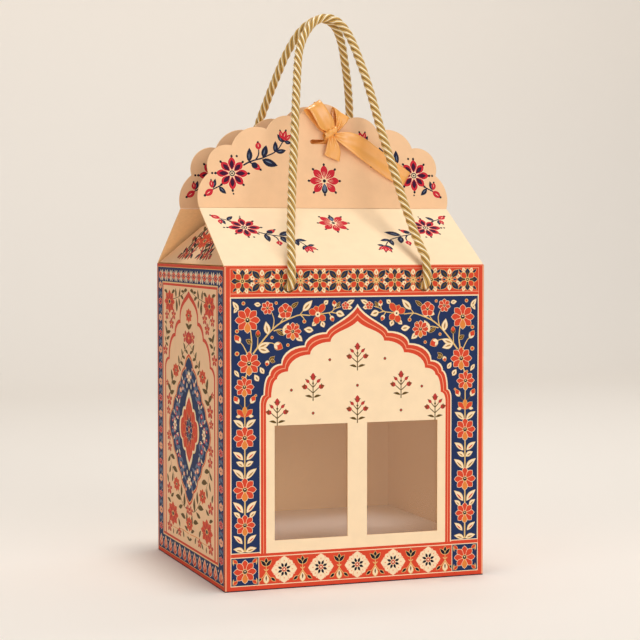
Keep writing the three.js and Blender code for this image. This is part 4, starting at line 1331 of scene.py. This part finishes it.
class HAMPER_OT_cords(bpy.types.Operator):
    """Makes the two handle cords, each with its feet at the holes and its knots inside the wall"""

    bl_idname = "hamper.cords"
    bl_label = "Cord handles"

    def execute(self, context):
        finish = context.scene.hamper_finish
        self.radius, self.lay = finish.cord_radius / MM, finish.cord_lay / MM
        self.handle("front", -1, FRONT_ROUTE, ("left", "right"))
        self.handle("back", 1, BACK_ROUTE, ("right", "left"))
        return {"FINISHED"}

    def rope(self, name, path, reach, part=slice(None), radius_share=1.0):
        """A piece of rope along the part of the path that is asked for."""
        rings, crown, across = rope_rings(path, reach, radius_share * self.radius, self.lay)
        return tube_object(name, rings[part], crown[part], across, reach[part])

    def handle(self, end, sign, route, hands):
        """One cord: a path from the hole, up through the route and down to the other hole, cut into the
        swinging leg and the two feet."""
        hole_y, bend_y = sign * (DEPTH / 2 - CORD_INSIDE), sign * (DEPTH / 2 + BEND_OUT)
        angle = np.linspace(0.15, math.pi / 2, 6)
        elbow = np.stack([
            np.zeros(len(angle)),
            bend_y - sign * BEND_OUT * (1 - np.sin(angle)),
            HOLE_LEVEL + BEND_OUT * (1 - np.cos(angle)),
        ], 1)
        inside = [[0, hole_y, HOLE_LEVEL], [0, sign * (DEPTH / 2 - 0.5), HOLE_LEVEL]]
        foot = np.concatenate([inside, elbow, [[0, bend_y, FOOT_TOP]]])
        left, right = foot + (-HOLE_X, 0, 0), (foot + (HOLE_X, 0, 0))[::-1]
        path, reach = resampled(smooth_path(np.concatenate([left, route, right]), 8), 1.2)
        low = path[:, 2] < LEG_START
        middle = len(path) // 2
        start, stop = np.argmin(low[:middle]), middle + np.argmax(low[middle:])
        leg = slice(start - 1, stop + 1)
        cord = self.rope(f"{end}_cord", path, reach, leg)
        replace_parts(cord, f"{end}_handle_cord")
        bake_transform(cord)

        with_cord = []
        for hand, part in ((hands[0], slice(0, start)), (hands[1], slice(stop, len(path)))):
            piece = self.rope(f"{end}_{hand}_foot", path, reach, part)
            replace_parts(piece, f"{end}_{hand}_cord_bend")
            x = float(path[part][0, 0]) * MM
            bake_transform(piece)
            with_cord += [piece, self.knot(f"{end}_{hand}_knot", x / MM, sign)]

    def knot(self, node_name, x, sign):
        """An overhand knot: the open trefoil (t^3 - 3t, t^4 - 4t^2, t^5 - 10t), drawn tight."""
        t = np.linspace(-2.02, 2.02, 90)
        aside = 1.52 * (t ** 3 - 3 * t)
        deep = 0.42 * (t ** 5 - 10 * t)
        up = 1.75 * (t ** 4 - 4 * t ** 2 + 2.1)
        wall = DEPTH / 2 - BOARD - 0.6
        out = np.clip(wall - 7.4 + sign * deep, wall - 16, wall - 0.75 * self.radius)
        places = np.stack([x + aside, sign * out, HOLE_LEVEL + up], 1)
        path, reach = resampled(smooth_path(places[::3], 6), 1.0)
        piece = self.rope(f"{node_name}_rope", path, reach, radius_share=0.9)
        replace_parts(piece, node_name)
        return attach(piece, "box")


class HAMPER_OT_walls(bpy.types.Operator):
    """Makes the four printed walls"""

    bl_idname = "hamper.walls"
    bl_label = "Printed walls"

    def execute(self, context):
        half_width, half_depth = WIDTH / 2, DEPTH / 2
        holes = [round_hole(side * HOLE_X, HOLE_LEVEL, HOLE_RADIUS) for side in (-1, 1)]
        windows = [box_outline(left, WINDOW_LOW, left + WINDOW_OUTER - WINDOW_INNER, WINDOW_HIGH)
                   for left in (-WINDOW_OUTER, WINDOW_INNER)]
        long_wall = box_outline(-half_width, 0, half_width, WALL)
        short_end = half_depth - CORNER_GAP
        front = front_print()
        side = partition(box_outline(-short_end, 0, short_end, WALL), side_print(), [])
        for name, drawing, turn, distance in (
            ("front_wall", partition(long_wall, front, holes + windows), 0, half_depth),
            ("back_wall", partition(long_wall, front, holes), 180, half_depth),
            ("left_wall", side, -90, half_width),
            ("right_wall", side, 90, half_width),
        ):
            piece = printed_panel(f"{name}_board", drawing, panel_frame(turn, distance))
            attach(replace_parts(piece, name), "box")
        return {"FINISHED"}


class HAMPER_OT_gable(bpy.types.Operator):
    """Makes the roof panels, the scalloped crests and the gussets"""

    bl_idname = "hamper.gable"
    bl_label = "Gable top"

    def execute(self, context):
        roof = partition(self.roof_outline(), roof_print(), [])
        crest = partition(crest_outline() + (0, CREASE_GAP), crest_print(), [slot_outline()])
        gusset = partition(self.gusset_outline(), gusset_print(), [])
        for end, turn in (("front", 0), ("back", 180)):
            placing = panel_frame(turn, DEPTH / 2, (0, WALL), ROOF_TILT)
            piece = printed_panel(f"{end}_roof_board", roof, placing)
            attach(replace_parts(piece, f"{end}_roof"), f"{end}_roof")
            piece = printed_panel(f"{end}_crest_board", crest, crest_frame(turn), two_sided=True)
            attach(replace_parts(piece, f"{end}_crest"), f"{end}_crest")
        for hand, turn in (("left", -90), ("right", 90)):
            placing = panel_frame(turn, WIDTH / 2, (0, WALL), GUSSET_TILT)
            piece = printed_panel(f"{hand}_gusset_board", gusset, placing)
            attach(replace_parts(piece, f"{hand}_gusset"), f"{hand}_gusset")
        return {"FINISHED"}

    def roof_outline(self):
        """A trapezium that narrows by the inset at each end."""
        low, high = ROOF_FOOT, ROOF_LENGTH - CREASE_GAP
        wide, narrow = WIDTH / 2, WIDTH / 2 - ROOF_INSET
        return np.array([[-wide, low], [wide, low], [narrow, high], [-narrow, high]], float)

    def gusset_outline(self):
        """A trapezium that keeps clear of the roof's slope, with its upper corners cut off."""
        slope = math.radians(ROOF_TILT)
        reach = np.array([GUSSET_FOOT, GUSSET_REACH - GUSSET_CORNER, GUSSET_REACH])
        half = DEPTH / 2 - reach / math.tan(slope) - BOARD / math.sin(slope) - GUSSET_GAP
        half[2] -= GUSSET_CORNER
        edge = np.stack([half, reach], 1)
        return np.concatenate([edge, (edge * (-1, 1))[::-1]])


class HAMPER_OT_bow(bpy.types.Operator):
    """Makes the satin bow on the front crest"""

    bl_idname = "hamper.bow"
    bl_label = "Satin bow"

    def execute(self, context):
        self.width = context.scene.hamper_finish.ribbon_width / MM
        for name, edges, pleat in (
            ("left_loop", LEFT_LOOP_EDGES, 0.8),
            ("right_loop", RIGHT_LOOP_EDGES, 0.9),
            ("short_tail", SHORT_TAIL_EDGES, 0.9),
            ("long_tail", LONG_TAIL_EDGES, 0.8),
        ):
            self.place(name, self.band(edges, pleat), self.width)
        self.place("tie", self.tie(), TIE_WIDTH)
        self.place("knot", self.knot(), KNOT_WIDTH)
        return {"FINISHED"}

    def place(self, name, grid, width):
        """Takes a grid of (x, height, out) on the crest's face to the box's frame as a ribbon piece."""
        flat = grid.reshape(-1, 3)
        world = in_frame(flat[:, :2], flat[:, 2], crest_frame(0)).reshape(grid.shape)
        piece = strip_object(f"bow_{name}", world)
        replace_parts(piece, f"ribbon_{name}")
        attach(piece, "front_crest")

    def band(self, edges, pleat):
        """A band between two smooth edges, with gathers where the edges come together: they rise by the
        pleat times a cosine across the band, and fade to one slow wave where the band lies open."""
        first, second = (smooth_path(edge, 10) for edge in edges)
        v = np.linspace(0, 1, 25)
        grid = first[:, None] * (1 - v[None, :, None]) + second[:, None] * v[None, :, None]
        gap = np.linalg.norm(second - first, axis=1)
        closed = 1 - ease((gap / self.width - 0.3) / 0.6)[:, None]
        slow = np.cos(TAU * (v - 0.2) + 2.4 * np.linspace(0, 1, len(first))[:, None])
        wave = closed * np.cos(2 * TAU * v) + 0.7 * (1 - closed) * slow
        grid[..., 2] += pleat * wave * np.sin(math.pi * v) ** 0.5
        grid[..., 2] = np.maximum(grid[..., 2], 0.6)
        return grid

    def tie(self):
        """The turn of ribbon through the slot and over the crest's top edge: drawn together at the knot,
        and slack and spread to its full width behind the slot. Its line is (height, out)."""
        top = LOBE_HEIGHTS[-1] + LOBE_BULGES[-1] + 0.6
        line = np.array([
            (SLOT_LEVEL + 3.6, 3.4), (SLOT_LEVEL + 1.2, 1.4), (SLOT_LEVEL, -0.5), (SLOT_LEVEL - 3, -4),
            (SLOT_LEVEL - 3.4, -9.5), (SLOT_LEVEL + 2.5, -13), (top - 14, -8), (top - 4, -2.4),
            (top + 0.2, -1.4), (top + 0.55, -0.5), (top + 0.1, 0.6), (top - 6, 0.7), (BOW_LEVEL + 8, 1.2),
            (BOW_LEVEL + 2, 3.2),
        ], float)
        path = smooth_path(line, 6)
        height, out = path[:, :1], path[:, 1:]
        step = travelled(path)
        v = np.linspace(-1, 1, 15)[None, :]
        spread = ease((step - 4.5) / 4) * (1 - ease((step - 20) / 16))
        over = ease((step - 22) / 16) * (1 - ease((step - step[-1] + 16) / 16))
        half = (3.4 + 4.4 * spread - 1.2 * over)[:, None]
        ripple = 0.18 * np.cos(3 * math.pi * v)
        middle = (BOW_X - 6.2 * spread - 7.8 * over * (1 - spread))[:, None]
        return np.stack([middle + half * v, height + 0 * v, out + ripple * np.sign(out)], 2)

    def knot(self):
        """The knot: a short band drawn round the middle, an oval ring with folds across its width."""
        u = np.linspace(0, TAU, 49)[:, None]
        v = np.linspace(-1, 1, 21)[None, :]
        pinch = 1 - 0.2 * v ** 2
        fold = 0.26 * np.cos(2 * math.pi * v + 0.6) * (1 + 0.3 * np.sin(2 * u))
        height = (2.8 * pinch + fold) * np.sin(u)
        out = 4.7 + (3.5 * pinch + fold) * np.cos(u)
        x = 5.6 * v + 0.9 * np.sin(u)
        tilt = math.radians(KNOT_TILT)
        return np.stack([
            BOW_X + x * math.cos(tilt) - height * math.sin(tilt),
            BOW_LEVEL + x * math.sin(tilt) + height * math.cos(tilt),
            np.maximum(out, 0.9),
        ], 2)


class HAMPER_PT_panel(bpy.types.Panel):
    """Lists the parts of the hamper box and what can be changed"""

    bl_idname = "HAMPER_PT_panel"
    bl_label = "Hamper box"
    bl_space_type = "VIEW_3D"
    bl_region_type = "UI"
    bl_category = "Hamper"

    def draw(self, context):
        for operator in OPERATORS:
            self.layout.operator(operator.bl_idname)
        for group in (context.scene.hamper_inks, context.scene.hamper_finish):
            for name in group.__annotations__:
                self.layout.prop(group, name)


OPERATORS = (
    HAMPER_OT_stage, HAMPER_OT_materials, HAMPER_OT_cords, HAMPER_OT_walls, HAMPER_OT_gable, HAMPER_OT_bow,
)
CLASSES = (HamperInks, HamperFinish) + OPERATORS + (HAMPER_PT_panel,)


def register():
    for part in CLASSES:
        bpy.utils.register_class(part)
    bpy.types.Scene.hamper_inks = PointerProperty(type=HamperInks)
    bpy.types.Scene.hamper_finish = PointerProperty(type=HamperFinish)


def unregister():
    del bpy.types.Scene.hamper_finish
    del bpy.types.Scene.hamper_inks
    for part in reversed(CLASSES):
        bpy.utils.unregister_class(part)


def main():
    register()
    bpy.ops.hamper.stage()
    bpy.ops.hamper.materials()
    bpy.ops.hamper.cords()
    bpy.ops.hamper.walls()
    bpy.ops.hamper.gable()
    bpy.ops.hamper.bow()


if __name__ == "__main__":
    main()
